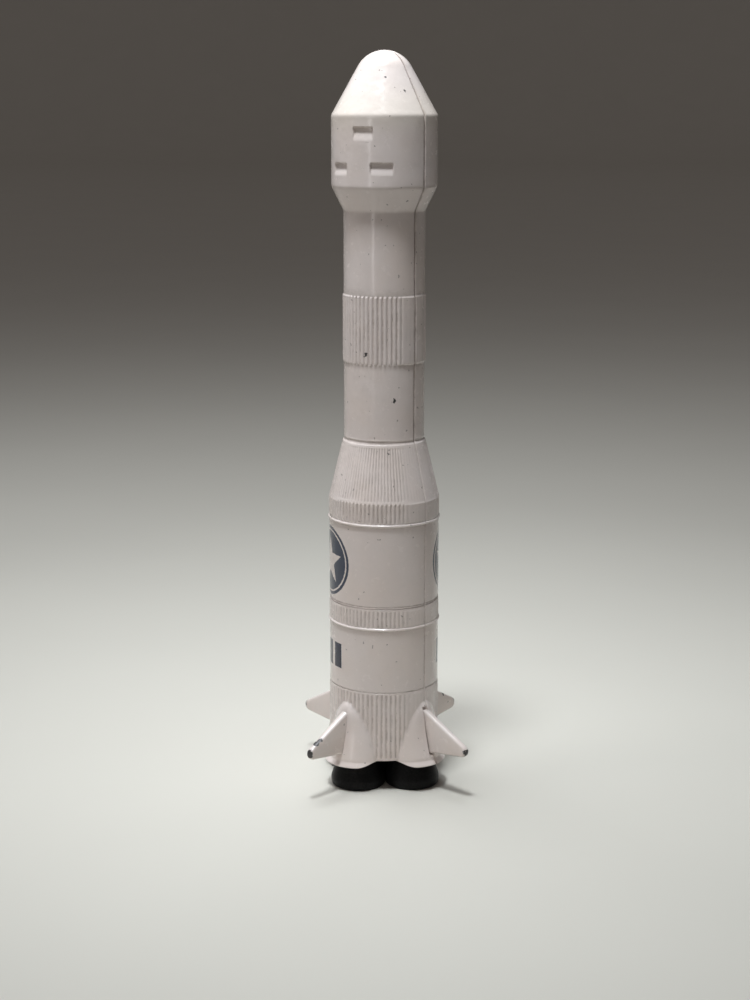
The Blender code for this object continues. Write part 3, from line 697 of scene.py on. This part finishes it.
def enamel(finishes):
    """Gloss white enamel over die-cast metal, with printed marks, chips, and grime mixed with painted shade
    in grooves, seams and creases.
    """
    finish = Finish(ENAMEL)
    axes = finish.axes()
    broad = finish.noise(90.0, 2.0)
    fine = finish.noise(900.0, 4.0)
    white = finish.mix(finish.span(broad, 0.35, 0.7), (*finishes.enamel_cool, 1.0),
                       (*finishes.enamel_warm, 1.0))
    white = finish.mix(finish.times(finish.span(fine, 0.45, 0.8), 0.12), white, (0.62, 0.58, 0.54, 1.0))
    under_nose = finish.times(finish.span(axes[2], 0.1185, 0.1228), finish.span(axes[2], 0.1300, 0.1235))
    white = finish.mix(finish.times(under_nose, 0.22), white, (0.72, 0.66, 0.50, 1.0))
    colour = white
    edge = finish.times(finish.minus(finish.noise(2600.0, 2.0), 0.5), 0.22)
    for turn in (-34.0, 141.0):
        across, along = mark_place(finish, turn, 42.5)
        star, reach = star_mask(finish, across, along, 4.6, 1.9)
        disc = finish.span(finish.plus(reach, edge), 6.55, 6.40)
        colour = finish.mix(disc, colour, (*finishes.disc_blue, 1.0))
        inside = finish.span(finish.plus(star, edge), 0.06, -0.06)
        colour = finish.mix(inside, colour, white)
        ring = finish.size(finish.minus(reach, 5.75))
        colour = finish.mix(finish.span(finish.plus(ring, edge), 0.2, 0.1), colour, white)
        across, along = mark_place(finish, turn, 25.0)
        bars = finish.minus(finish.size(finish.math("WRAP", across, 1.65, -1.65)), 1.15)
        bars = finish.greater(bars, finish.minus(finish.size(across), 4.6))
        bars = finish.greater(bars, finish.minus(finish.size(along), 2.35))
        inside = finish.span(finish.plus(bars, edge), 0.06, -0.06)
        colour = finish.mix(inside, colour, (*finishes.bar_navy, 1.0))
    # The grime layer darkens grooves, seams, creases and recess edges: partly dirt, partly painted shade.
    sits = finish.attribute("grime_and_shade")
    patchy = finish.span(finish.noise(420.0, 4.0, 0.65), 0.35, 0.75, 0.15, 1.0)
    dirt_and_shade = finish.times(finish.times(sits, patchy), finishes.grime_and_shade, clamp=True)
    colour = finish.mix(dirt_and_shade, colour, (*finishes.grime_and_shade_colour, 1.0))
    speck = finish.math("GREATER_THAN", finish.noise(1300.0, 1.0, 0.4), 0.765)
    colour = finish.mix(finish.times(speck, 0.55), colour, (0.16, 0.13, 0.11, 1.0))
    streak = finish.noise(1.0, 3.0, place=finish.stretched((2600.0, 2600.0, 130.0), (0.5, 0.2, 0.0)))
    scratch = finish.times(finish.span(streak, 0.74, 0.78), finish.span(broad, 0.5, 0.62))
    colour = finish.mix(finish.times(scratch, 0.4), colour, (0.30, 0.27, 0.25, 1.0))
    ragged = finish.times(finish.minus(finish.noise(1700.0, 4.0, 0.7), 0.5), 0.0019)
    bare = None
    for point, size in CHIPS:
        near = finish.span(finish.plus(finish.distance(point), ragged), size * MM, size * MM * 0.86)
        bare = near if bare is None else finish.greater(bare, near)
    colour = finish.mix(bare, colour, (*finishes.bare_metal, 1.0))
    rough = finish.span(finish.noise(700.0, 3.0), 0.3, 0.7, finishes.gloss - 0.05, finishes.gloss + 0.08)
    rough = finish.plus(rough, finish.times(dirt_and_shade, 0.35))
    rough = finish.greater(rough, finish.times(bare, 0.5))
    peel = finish.plus(finish.noise(330.0, 2.0), finish.times(finish.noise(1900.0, 2.0), 0.12))
    normal = finish.bump(peel, 0.00016, 0.6)
    normal = finish.bump(finish.times(bare, -1.0), 0.00008, 0.8, normal)
    return finish.set(Base_Color=colour, Roughness=rough, Metallic=finish.times(bare, 0.7),
                      Normal=normal, Coat_Weight=0.3, Coat_Roughness=0.08, Specular_IOR_Level=0.45)


def black_plastic(finishes):
    """Matt black moulding with a little dust."""
    finish = Finish("black_moulded_plastic")
    grain = finish.noise(2600.0, 3.0)
    dust = finish.span(finish.noise(500.0, 4.0, 0.65), 0.5, 0.8)
    colour = finish.mix(finish.span(grain, 0.3, 0.7), (0.004, 0.004, 0.0045, 1.0), (0.009, 0.009, 0.009, 1.0))
    colour = finish.mix(finish.times(dust, 0.05), colour, (0.20, 0.18, 0.16, 1.0))
    return finish.set(Base_Color=colour, Roughness=finish.span(dust, 0.0, 1.0, 0.42, 0.6),
                      Normal=finish.bump(grain, 0.00003, 0.5), Specular_IOR_Level=0.12)


def plated_steel(finishes):
    """Bright steel, dulled in patches."""
    finish = Finish("plated_steel_turned")
    brushed = finish.noise(1.0, 3.0, place=finish.stretched((900.0, 6000.0, 900.0)))
    dull = finish.noise(800.0, 4.0, 0.6)
    colour = finish.mix(finish.span(dull, 0.4, 0.75), (0.62, 0.61, 0.59, 1.0), (0.34, 0.31, 0.28, 1.0))
    return finish.set(Base_Color=colour, Metallic=1.0, Roughness=finish.span(dull, 0.3, 0.75, 0.24, 0.48),
                      Normal=finish.bump(brushed, 0.00002, 0.4))


def grey_plastic(finishes):
    """Light grey moulding of the adapter and the dish."""
    finish = Finish("grey_moulded_plastic")
    grain = finish.noise(2200.0, 3.0)
    colour = finish.mix(finish.span(finish.noise(300.0), 0.3, 0.7), (0.50, 0.51, 0.53, 1.0),
                        (0.60, 0.60, 0.60, 1.0))
    return finish.set(Base_Color=colour, Roughness=finish.span(grain, 0.3, 0.7, 0.34, 0.46),
                      Normal=finish.bump(grain, 0.00003, 0.5))


def gold_foil(finishes):
    """Gold lacquer over a moulded crumple."""
    finish = Finish("gold_lacquered_plastic")
    node = finish.tree.nodes.new("ShaderNodeTexVoronoi")
    node.feature = "DISTANCE_TO_EDGE"
    node.inputs["Scale"].default_value = 1400.0
    finish.feed(node.inputs["Vector"], finish.place)
    crumple = finish.plus(node.outputs["Distance"], finish.noise(2200.0, 3.0))
    colour = finish.mix(finish.span(finish.noise(900.0), 0.35, 0.7), (0.66, 0.42, 0.11, 1.0),
                        (0.80, 0.58, 0.22, 1.0))
    return finish.set(Base_Color=colour, Metallic=0.75, Roughness=finish.span(crumple, 0.4, 1.0, 0.22, 0.42),
                      Normal=finish.bump(crumple, 0.0001, 0.7))


def blue_cells(finishes):
    """Glossy blue moulding of the panels."""
    finish = Finish("blue_cell_plastic")
    grain = finish.noise(1800.0, 2.0)
    colour = finish.mix(finish.span(finish.noise(600.0), 0.3, 0.7), (0.012, 0.035, 0.17, 1.0),
                        (0.03, 0.07, 0.30, 1.0))
    return finish.set(Base_Color=colour, Roughness=finish.span(grain, 0.3, 0.7, 0.16, 0.30),
                      Normal=finish.bump(grain, 0.00003, 0.4), Coat_Weight=0.5, Coat_Roughness=0.08)


class RocketShellSettings(bpy.types.PropertyGroup):
    """Relief of the cast shells."""

    columns: IntProperty(name="Columns", description="Points across the plain part of each half turn",
                         default=297, min=60, max=400)
    rib_depth: FloatProperty(name="Rib depth", description="Depth of the moulded grooves, as a factor",
                             default=1.0, min=0.0, max=2.0)
    seam_round: FloatProperty(name="Seam rounding",
                              description="Rounding of the edges along the parting line, in millimetres",
                              default=0.22, min=0.02, max=0.5)
    rim_round: FloatProperty(name="Rim rounding", description="Rounding of the open rims, in millimetres",
                             default=0.25, min=0.02, max=0.5)
    fin_root: FloatProperty(name="Fin thickness",
                            description="Thickness of a fin at its root, in millimetres",
                            default=1.55, min=1.0, max=2.2)
    fin_edge: FloatProperty(name="Fin edge rounding",
                            description="Rounding of the edges of a fin, in millimetres",
                            default=0.55, min=0.1, max=0.7)


class RocketFinishSettings(bpy.types.PropertyGroup):
    """Colours and wear of the finishes."""

    enamel_cool: FloatVectorProperty(name="Enamel, cool", description="White enamel in its cooler patches",
                                     default=(0.79, 0.705, 0.675), subtype="COLOR", min=0.0, max=1.0)
    enamel_warm: FloatVectorProperty(name="Enamel, warm", description="White enamel in its warmer patches",
                                     default=(0.79, 0.69, 0.645), subtype="COLOR", min=0.0, max=1.0)
    disc_blue: FloatVectorProperty(name="Disc blue", description="Ink of the round mark",
                                   default=(0.045, 0.056, 0.09), subtype="COLOR", min=0.0, max=1.0)
    bar_navy: FloatVectorProperty(name="Bar navy", description="Ink of the bars",
                                  default=(0.006, 0.008, 0.035), subtype="COLOR", min=0.0, max=1.0)
    bare_metal: FloatVectorProperty(name="Bare metal",
                                    description="Dulled metal where the enamel has chipped",
                                    default=(0.075, 0.07, 0.07), subtype="COLOR", min=0.0, max=1.0)
    # Grime colour and amount darken grooves and seams: partly dirt, partly painted shade.
    grime_and_shade_colour: FloatVectorProperty(name="Grime", description="Dirt that sits in grooves and seams",
                                      default=(0.20, 0.15, 0.115), subtype="COLOR", min=0.0, max=1.0)
    grime_and_shade: FloatProperty(name="Grime amount", description="How much dirt the grooves hold", default=0.55,
                         min=0.0, max=1.0, subtype="FACTOR")
    gloss: FloatProperty(name="Enamel roughness", description="Roughness of clean enamel", default=0.2,
                         min=0.05, max=1.0, subtype="FACTOR")


class RocketStageSettings(bpy.types.PropertyGroup):
    """Floor, backdrop and light."""

    floor_colour: FloatVectorProperty(name="Floor", description="Pale floor and backdrop",
                                      default=(0.63, 0.605, 0.55), subtype="COLOR", min=0.0, max=1.0)
    key_power: FloatProperty(name="Overhead light", description="Power of the softbox overhead",
                             default=1.3, min=0.0, unit="POWER")
    fill_power: FloatProperty(name="Side light", description="Power of the soft side light",
                              default=0.04, min=0.0, unit="POWER")
    sky: FloatProperty(name="Room light", description="Strength of the even light of the room",
                       default=0.13, min=0.0, subtype="FACTOR")
    distance: FloatProperty(name="Camera distance", description="Level distance from the rocket's axis",
                            default=0.3226, min=0.05, unit="LENGTH")


class ROCKET_OT_front_shell(bpy.types.Operator):
    """Builds the full-height front casting with its two fins, floors and screw posts"""

    bl_idname = "rocket.front_shell"
    bl_label = "Front shell"

    def execute(self, context):
        settings = context.scene.rocket_shell
        spans = relief_spans() + [(c - h - 0.25, c + h + 0.25, 0.13) for _, c, _, h in HATCHES]
        rows = nose_rows(FLOOR_RIM, spans)
        work = bmesh.new()
        cast_shell(work, settings, -1, rows, APEX, FLOOR_RIM, fin_notch)
        for azimuth in (-pi / 2, pi):
            fin(work, settings, azimuth)
        half_floor(work, -1, THIRD_TOP - WALL, THIRD_TOP, SLIM_FLOOR_RADIUS)
        half_floor(work, -1, BAY_FLOOR - WALL, BAY_FLOOR, SLIM_FLOOR_RADIUS)
        half_floor(work, -1, DECK_LOW, DECK_HIGH, BODY_FLOOR_RADIUS)
        for level in SCREW_HEIGHTS.values():
            turned(work, [(1.0, 0.0), (1.0, 14.4), (1.25, 14.6), (2.0, 14.6), (2.2, 14.4), (2.2, 0.0)], 32,
                   along_y(-9.0, z=level))
        finish_piece("front_shell_cast", work, bpy.data.materials[ENAMEL], "rocket_body",
                     ["front_shell"])
        return {"FINISHED"}


class ROCKET_OT_rear_lower_shell(bpy.types.Operator):
    """Builds the rear casting of the lower stages with its fins, bosses and hinge lugs"""

    bl_idname = "rocket.rear_lower_shell"
    bl_label = "Rear lower shell"

    def execute(self, context):
        settings = context.scene.rocket_shell
        spans = relief_spans() + [(h - 2.3, h + 2.3, 0.13) for h in SCREW_HEIGHTS.values()]
        spans += [(63.0, REAR_TOP, 0.1)]
        rows = row_heights(FLOOR_RIM, REAR_TOP, spans)
        relief = hinge_relief(-1.0, LUG_IN)

        def shape(radius, grime_and_shade, angle, height, facing):
            for sink in (fin_notch, screw_seats, relief):
                radius, grime_and_shade = sink(radius, grime_and_shade, angle, height, facing)
            return radius, grime_and_shade

        work = bmesh.new()
        cast_shell(work, settings, 1, rows, REAR_TOP, FLOOR_RIM, shape)
        for azimuth in (pi / 2, 0.0):
            fin(work, settings, azimuth)
        half_floor(work, 1, BAY_FLOOR - WALL, BAY_FLOOR, SLIM_FLOOR_RADIUS)
        half_floor(work, 1, DECK_LOW, DECK_HIGH, BODY_FLOOR_RADIUS)
        for level in SCREW_HEIGHTS.values():
            turned(work, [(1.0, 0.0), (1.0, 3.05), (2.2, 3.05), (2.2, 0.25), (1.95, 0.0)], 32,
                   along_y(5.92, z=level))
        for side in (-1, 1):
            ends = sorted((side * LUG_IN, side * LUG_OUT))
            rounded_box(work, (ends[0] + 0.04, 6.0, HINGE_Z - 0.88),
                        (ends[1] - 0.04, HINGE_Y - 0.45, REAR_TOP - 0.1), 0.08)
            turned(work, barrel(ends[1] - ends[0], PIN_RADIUS + 0.1), 40, along_x(ends[0], HINGE_Y, HINGE_Z))
        finish_piece("rear_lower_shell_cast", work, bpy.data.materials[ENAMEL], "rocket_body",
                     ["rear_lower_shell"])
        return {"FINISHED"}


def barrel(length, bore):
    """Profile of a hinge barrel with softened ends."""
    return [(bore, 0.0), (bore, length), (HINGE_RADIUS - 0.12, length), (HINGE_RADIUS - 0.03, length - 0.04),
            (HINGE_RADIUS, length - 0.13), (HINGE_RADIUS, 0.13), (HINGE_RADIUS - 0.03, 0.04),
            (HINGE_RADIUS - 0.12, 0.0)]


class ROCKET_OT_rear_cover(bpy.types.Operator):
    """Builds the upper rear cover with the knuckle it swings on"""

    bl_idname = "rocket.rear_cover"
    bl_label = "Rear upper cover"

    def execute(self, context):
        settings = context.scene.rocket_shell
        rows = nose_rows(COVER_RIM, relief_spans() + [(COVER_RIM, 66.4, 0.1)])
        work = bmesh.new()
        relief = hinge_relief(KNUCKLE_HALF + 0.12, LUG_OUT + 0.25)
        cast_shell(work, settings, 1, rows, APEX, COVER_RIM, relief)
        rounded_box(work, (-KNUCKLE_HALF + 0.04, 6.2, COVER_RIM + 0.1),
                    (KNUCKLE_HALF - 0.04, HINGE_Y - 0.45, HINGE_Z + 0.9), 0.08)
        turned(work, barrel(2 * KNUCKLE_HALF, PIN_RADIUS + 0.1), 40, along_x(-KNUCKLE_HALF, HINGE_Y, HINGE_Z))
        finish_piece("rear_upper_cover_cast", work, bpy.data.materials[ENAMEL], "cover",
                     ["rear_upper_cover"])
        return {"FINISHED"}


class ROCKET_OT_engine_block(bpy.types.Operator):
    """Builds the black engine moulding with its four hollow bells"""

    bl_idname = "rocket.engine_block"
    bl_label = "Engine block"

    def execute(self, context):
        work = bmesh.new()
        plug = [(0.0, 12.0), (8.3, 12.0), (8.55, 11.85), (8.6, 11.6), (8.6, 11.0), (7.1, 11.0), (7.1, 9.2),
                (8.5, 9.2), (8.6, 9.05), (8.6, 7.35), (8.5, 7.2), (3.0, 7.2), (3.0, 1.15), (2.85, 1.0),
                (0.0, 1.0)]
        turned(work, plug, 96)
        outside = [(0.0, 8.2), (3.2, 8.2), (3.2, 7.0), (3.45, 6.2), (3.85, 5.0), (4.25, 3.9), (4.62, 2.9),
                   (4.92, 2.05), (5.04, 1.6), (5.08, 1.25), (5.08, 0.8), (5.04, 0.42), (4.94, 0.17),
                   (4.8, 0.03)]
        inside = [(4.6, 0.0), (4.35, 0.05), (4.16, 0.25), (3.75, 1.4), (3.1, 2.6), (2.3, 3.35), (1.3, 3.6),
                  (1.1, 3.5), (0.9, 3.0), (0.6, 2.85), (0.0, 2.8)]
        for quarter in range(4):
            place = Matrix.Rotation(quarter * pi / 2, 4, "Z") @ Matrix.Translation((BELL_OFFSET, 0.0, 0.0))
            turned(work, outside + inside, 72, place)
        finish_piece("engine_block_moulded", work, bpy.data.materials["black_moulded_plastic"], "rocket_body",
                     ["engine_block"], 35.0)
        return {"FINISHED"}


class ROCKET_OT_fastenings(bpy.types.Operator):
    """Builds the two cross-head screws and the pin of the hinge"""

    bl_idname = "rocket.fastenings"
    bl_label = "Screws and pin"

    def execute(self, context):
        steel = bpy.data.materials["plated_steel_turned"]
        for name, level in SCREW_HEIGHTS.items():
            work = bmesh.new()
            thread = [(0.0, 0.62), (0.25, 0.72)]
            for turn in range(16):
                thread += [(0.5, 0.9 + turn * 0.4), (0.7, 1.1 + turn * 0.4)]
            head = [(0.55, 8.6), (0.7, 8.9), (1.5, 8.6), (1.6, 8.7), (1.6, 9.0), (1.45, 9.22), (1.1, 9.36),
                    (0.6, 9.4), (0.0, 9.4)]
            profile = thread + [(0.7, 8.0)] + head
            turned(work, profile, 36, along_y(0.62, z=level))
            piece = finish_piece(f"{name}_cross_head", work, steel, "rocket_body", [name],
                                 35.0)
            cut_cross(piece, 10.02, level)
        work = bmesh.new()
        half = [(PIN_RADIUS, LUG_OUT - 0.14), (PIN_RADIUS - 0.03, LUG_OUT - 0.05),
                (PIN_RADIUS - 0.12, LUG_OUT), (0.0, LUG_OUT)]
        mirrored = [(radius, -height) for radius, height in reversed(half)]
        turned(work, mirrored + half, 32, along_x(0.0, HINGE_Y, HINGE_Z))
        finish_piece("hinge_pin_turned", work, steel, "rocket_body", ["hinge_pin"], 35.0)
        return {"FINISHED"}


def cut_cross(piece, top, level):
    """Cuts the cross recess of a screw head with two tapered slots."""
    work = bmesh.new()
    for turn in (radians(20.0), radians(110.0)):
        made = bmesh.ops.create_cube(work, size=1.0)["verts"]
        bmesh.ops.scale(work, vec=(1.7, 1.0, 0.34), verts=made)
        for vert in made:
            if vert.co.y < 0.0:
                vert.co.x *= 0.5
        place = Matrix.Translation((0.0, top + 0.02, level)) @ Matrix.Rotation(turn, 4, "Y")
        bmesh.ops.transform(work, verts=made, matrix=place)
    bmesh.ops.scale(work, vec=(MM, MM, MM), verts=work.verts[:])
    mesh = bpy.data.meshes.new("cross_cutter")
    work.to_mesh(mesh)
    work.free()
    cutter = bpy.data.objects.new("cross_cutter", mesh)
    bpy.context.scene.collection.objects.link(cutter)
    boolean = piece.modifiers.new("Cross", "BOOLEAN")
    boolean.operation = "DIFFERENCE"
    boolean.solver = "EXACT"
    boolean.use_self = True
    boolean.object = cutter
    bpy.context.view_layer.update()
    cut = bpy.data.meshes.new_from_object(piece.evaluated_get(bpy.context.evaluated_depsgraph_get()))
    piece.modifiers.clear()
    piece.data = cut
    cut.set_sharp_from_angle(angle=radians(35.0))
    bpy.data.objects.remove(cutter, do_unlink=True)


def broad_faces(work, smallest):
    """Faces of a panel that look to the front or the back and are over an area."""
    return [face for face in work.faces if abs(face.normal.y) > 0.9 and face.calc_area() > smallest]


def split_panel(work, smallest, axis, shortest, cuts):
    """Cuts a panel's broad faces across their edges that run far enough along an axis."""
    edges = {edge for face in broad_faces(work, smallest) for edge in face.edges}
    edges = [edge for edge in edges if abs((edge.verts[0].co - edge.verts[1].co)[axis]) > shortest]
    bmesh.ops.subdivide_edges(work, edges=edges, cuts=cuts, use_grid_fill=True)


class ROCKET_OT_payload(bpy.types.Operator):
    """Builds the satellite on its seat inside the fairing"""

    bl_idname = "rocket.payload"
    bl_label = "Payload"

    def execute(self, context):
        gold = bpy.data.materials["gold_lacquered_plastic"]
        grey = bpy.data.materials["grey_moulded_plastic"]
        blue = bpy.data.materials["blue_cell_plastic"]
        low, high = (Vector(corner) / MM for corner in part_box("payload_adapter"))
        middle = (low.y + high.y) / 2
        work = bmesh.new()
        seat = [(0.0, low.z), (2.15, low.z), (2.2, low.z + 0.06), (2.2, low.z + 0.45), (2.1, low.z + 0.5),
                (1.75, low.z + 0.6), (1.5, low.z + 1.6), (1.55, low.z + 1.75), (1.5, high.z - 0.04),
                (1.44, high.z), (0.0, high.z)]
        turned(work, seat, 40, Matrix.Translation((0.0, middle, 0.0)))
        finish_piece("payload_adapter_moulded", work, grey, "rocket_body", ["payload_adapter"],
                     35.0)
        low, high = (Vector(corner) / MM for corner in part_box("satellite_body"))
        work = bmesh.new()
        rounded_box(work, low, high, 0.3, 3)
        sides = [face for face in work.faces if face.calc_area() > 8.0]
        bmesh.ops.inset_individual(work, faces=sides, thickness=0.45, depth=0.0)
        bmesh.ops.inset_individual(work, faces=sides, thickness=0.12, depth=-0.14)
        finish_piece("satellite_body_moulded", work, gold, "rocket_body", ["satellite_body"],
                     30.0)
        for side in ("left", "right"):
            name = f"satellite_panel_{side}"
            low, high = (Vector(corner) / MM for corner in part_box(name))
            work = bmesh.new()
            rounded_box(work, low, high, 0.15, 2)
            split_panel(work, 3.0, 2, 1.0, 5)
            split_panel(work, 0.6, 0, 0.8, 1)
            faces = broad_faces(work, 0.3)
            bmesh.ops.inset_individual(work, faces=faces, thickness=0.09, depth=0.0)
            bmesh.ops.inset_individual(work, faces=faces, thickness=0.05, depth=-0.06)
            finish_piece(f"{name}_cells", work, blue, "rocket_body", [name], 30.0)
        low, high = (Vector(corner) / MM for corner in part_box("satellite_dish"))
        middle = (low.y + high.y) / 2
        work = bmesh.new()
        base = high.z - 1.2
        bowl = [(0.6, -0.1), (0.9, 0.0), (1.5, 0.28), (2.0, 0.68), (2.38, 1.14), (2.38, 1.2), (2.25, 1.2),
                (1.9, 0.86), (1.4, 0.5), (0.8, 0.28), (0.22, 0.24), (0.18, 0.8), (0.3, 0.88), (0.3, 1.1),
                (0.15, 1.18), (0.0, 1.18)]
        bowl = [(0.0, low.z), (0.6, low.z)] + [(radius, base + rise) for radius, rise in bowl]
        turned(work, bowl, 48, Matrix.Translation((0.0, middle, 0.0)))
        finish_piece("satellite_dish_moulded", work, grey, "rocket_body", ["satellite_dish"],
                     35.0)
        return {"FINISHED"}


class ROCKET_OT_finishes(bpy.types.Operator):
    """Makes the finishes of every piece"""

    bl_idname = "rocket.finishes"
    bl_label = "Finishes"

    def execute(self, context):
        finishes = context.scene.rocket_finish
        for make in (enamel, black_plastic, plated_steel, grey_plastic, gold_foil, blue_cells):
            make(finishes)
        return {"FINISHED"}


def stage_object(name, work, material):
    """Object of the studio, from a bmesh in metres."""
    mesh = bpy.data.meshes.new(name)
    work.to_mesh(mesh)
    work.free()
    mesh.shade_smooth()
    mesh.materials.append(material)
    made = bpy.data.objects.new(name, mesh)
    bpy.context.scene.collection.objects.link(made)
    return made


def area_light(name, place, target, size, power, colour, size_y=None):
    """Rectangular light in the scene, turned towards a target."""
    data = bpy.data.lights.new(name, "AREA")
    data.energy = power
    data.color = colour
    data.shape = "RECTANGLE"
    data.size = size
    data.size_y = size_y or size
    lamp = bpy.data.objects.new(name, data)
    lamp.location = place
    lamp.rotation_euler = (Vector(target) - Vector(place)).to_track_quat("-Z", "Y").to_euler()
    bpy.context.scene.collection.objects.link(lamp)
    return lamp


class ROCKET_OT_studio(bpy.types.Operator):
    """Sets the floor and backdrop, the lights and the camera"""

    bl_idname = "rocket.studio"
    bl_label = "Studio"

    def execute(self, context):
        stage = context.scene.rocket_stage
        turn = radians(VIEW_TURN)
        out = Vector((sin(turn), -cos(turn), 0.0))
        finish = Finish("stage_paper")
        cloud = finish.noise(14.0, 3.0)
        grain = finish.noise(900.0, 3.0)
        base = Vector(stage.floor_colour)
        colour = finish.mix(finish.span(cloud, 0.3, 0.7), (*(base * 0.985), 1.0), (*base, 1.0))
        paper = finish.set(Base_Color=colour, Roughness=0.62, Normal=finish.bump(grain, 0.00004, 0.25),
                           Specular_IOR_Level=0.25)
        work = bmesh.new()
        made = bmesh.ops.create_grid(work, x_segments=1, y_segments=1, size=3.0)["verts"]
        bmesh.ops.translate(work, vec=(0.0, 0.6, 0.0), verts=made)
        far = [edge for edge in work.edges if all(vert.co.y > 3.0 for vert in edge.verts)]
        bmesh.ops.spin(work, geom=far, cent=(0.0, 3.6, 1.2), axis=(1.0, 0.0, 0.0), angle=pi / 2, steps=24)
        top = [edge for edge in work.edges if all(vert.co.z > 1.19 for vert in edge.verts)]
        grown = bmesh.ops.extrude_edge_only(work, edges=top)
        raised = [part for part in grown["geom"] if isinstance(part, bmesh.types.BMVert)]
        bmesh.ops.translate(work, vec=(0.0, 0.0, 2.5), verts=raised)
        bmesh.ops.rotate(work, verts=work.verts[:], cent=(0, 0, 0), matrix=Matrix.Rotation(turn, 3, "Z"))
        sweep = stage_object("studio_sweep", work, paper)
        side = Vector((cos(turn), sin(turn), 0.0))
        up = Vector((0.0, 0.0, 1.0))
        target = up * 0.06
        area_light("softbox_overhead", up * 0.39 - side * 0.06 - out * 0.06, target - out * 0.06, 0.22,
                   stage.key_power, TOP_LIGHT)
        lamp = area_light("spot_front", out * 0.08 - side * 0.03 + up * 0.40, up * 0.05, 0.05,
                          stage.key_power * 0.055, TOP_LIGHT)
        lamp.data.spread = radians(50.0)
        strip_turn = radians(31.5)
        strip = out * cos(strip_turn) * 0.6 - side * sin(strip_turn) * 0.6 + up * 0.05
        area_light("strip_left", strip, target, 0.04, stage.fill_power * 4.0, (1.0, 0.94, 0.92), 0.32)
        area_light("card_left", up * 0.25 - side * 0.65, target, 0.5, stage.fill_power * 2.5, ROOM_LIGHT)
        work = bmesh.new()
        place = Matrix.Translation(side * 0.15 + out * 0.06 + up * 0.14)
        facing = Matrix.Rotation(turn, 4, "Z") @ Matrix.Rotation(pi / 2, 4, "Y")
        bmesh.ops.create_grid(work, x_segments=1, y_segments=1, size=0.13, matrix=place @ facing)
        cloth = Finish("stage_flag").set(Base_Color=(0.02, 0.02, 0.02, 1.0), Roughness=0.9)
        flag = stage_object("flag_right", work, cloth)
        flag.visible_camera = False
        world = bpy.data.worlds.new("studio_room")
        context.scene.world = world
        world.use_nodes = True
        background = world.node_tree.nodes["Background"]
        background.inputs["Color"].default_value = (*ROOM_LIGHT, 1.0)
        background.inputs["Strength"].default_value = stage.sky
        context.scene.view_settings.view_transform = "Standard"
        data = bpy.data.cameras.new("studio_camera")
        data.lens = 64.33
        data.sensor_width = 36.0
        data.clip_start = 0.01
        camera = bpy.data.objects.new("studio_camera", data)
        camera.location = out * stage.distance + up * 0.1242
        camera.rotation_euler = (radians(90.0 - 12.42), 0.0, turn + radians(0.298))
        context.scene.collection.objects.link(camera)
        context.scene.camera = camera
        return {"FINISHED"}


class ROCKET_PT_looks(bpy.types.Panel):
    """Lists the rocket's pieces, finishes and studio"""

    bl_idname = "ROCKET_PT_looks"
    bl_label = "Rocket"
    bl_space_type = "VIEW_3D"
    bl_region_type = "UI"
    bl_category = "Rocket"

    def draw(self, context):
        layout = self.layout
        for operator in OPERATORS:
            layout.operator(operator.bl_idname)
        for group in (context.scene.rocket_shell, context.scene.rocket_finish, context.scene.rocket_stage):
            box = layout.box()
            for name in group.bl_rna.properties.keys():
                if name not in ("name", "rna_type"):
                    box.prop(group, name)


OPERATORS = (ROCKET_OT_finishes, ROCKET_OT_front_shell, ROCKET_OT_rear_lower_shell, ROCKET_OT_rear_cover,
             ROCKET_OT_engine_block, ROCKET_OT_fastenings, ROCKET_OT_payload, ROCKET_OT_studio)
GROUPS = {"rocket_shell": RocketShellSettings, "rocket_finish": RocketFinishSettings,
          "rocket_stage": RocketStageSettings}


def register():
    for item in (*GROUPS.values(), *OPERATORS, ROCKET_PT_looks):
        bpy.utils.register_class(item)
    for name, group in GROUPS.items():
        setattr(bpy.types.Scene, name, PointerProperty(type=group))


def unregister():
    for name in GROUPS:
        delattr(bpy.types.Scene, name)
    for item in (ROCKET_PT_looks, *reversed(OPERATORS), *reversed(GROUPS.values())):
        bpy.utils.unregister_class(item)


def main():
    register()
    bpy.ops.rocket.finishes()
    bpy.ops.rocket.front_shell()
    bpy.ops.rocket.rear_lower_shell()
    bpy.ops.rocket.rear_cover()
    bpy.ops.rocket.engine_block()
    bpy.ops.rocket.fastenings()
    bpy.ops.rocket.payload()
    bpy.ops.rocket.studio()


if __name__ == "__main__":
    main()
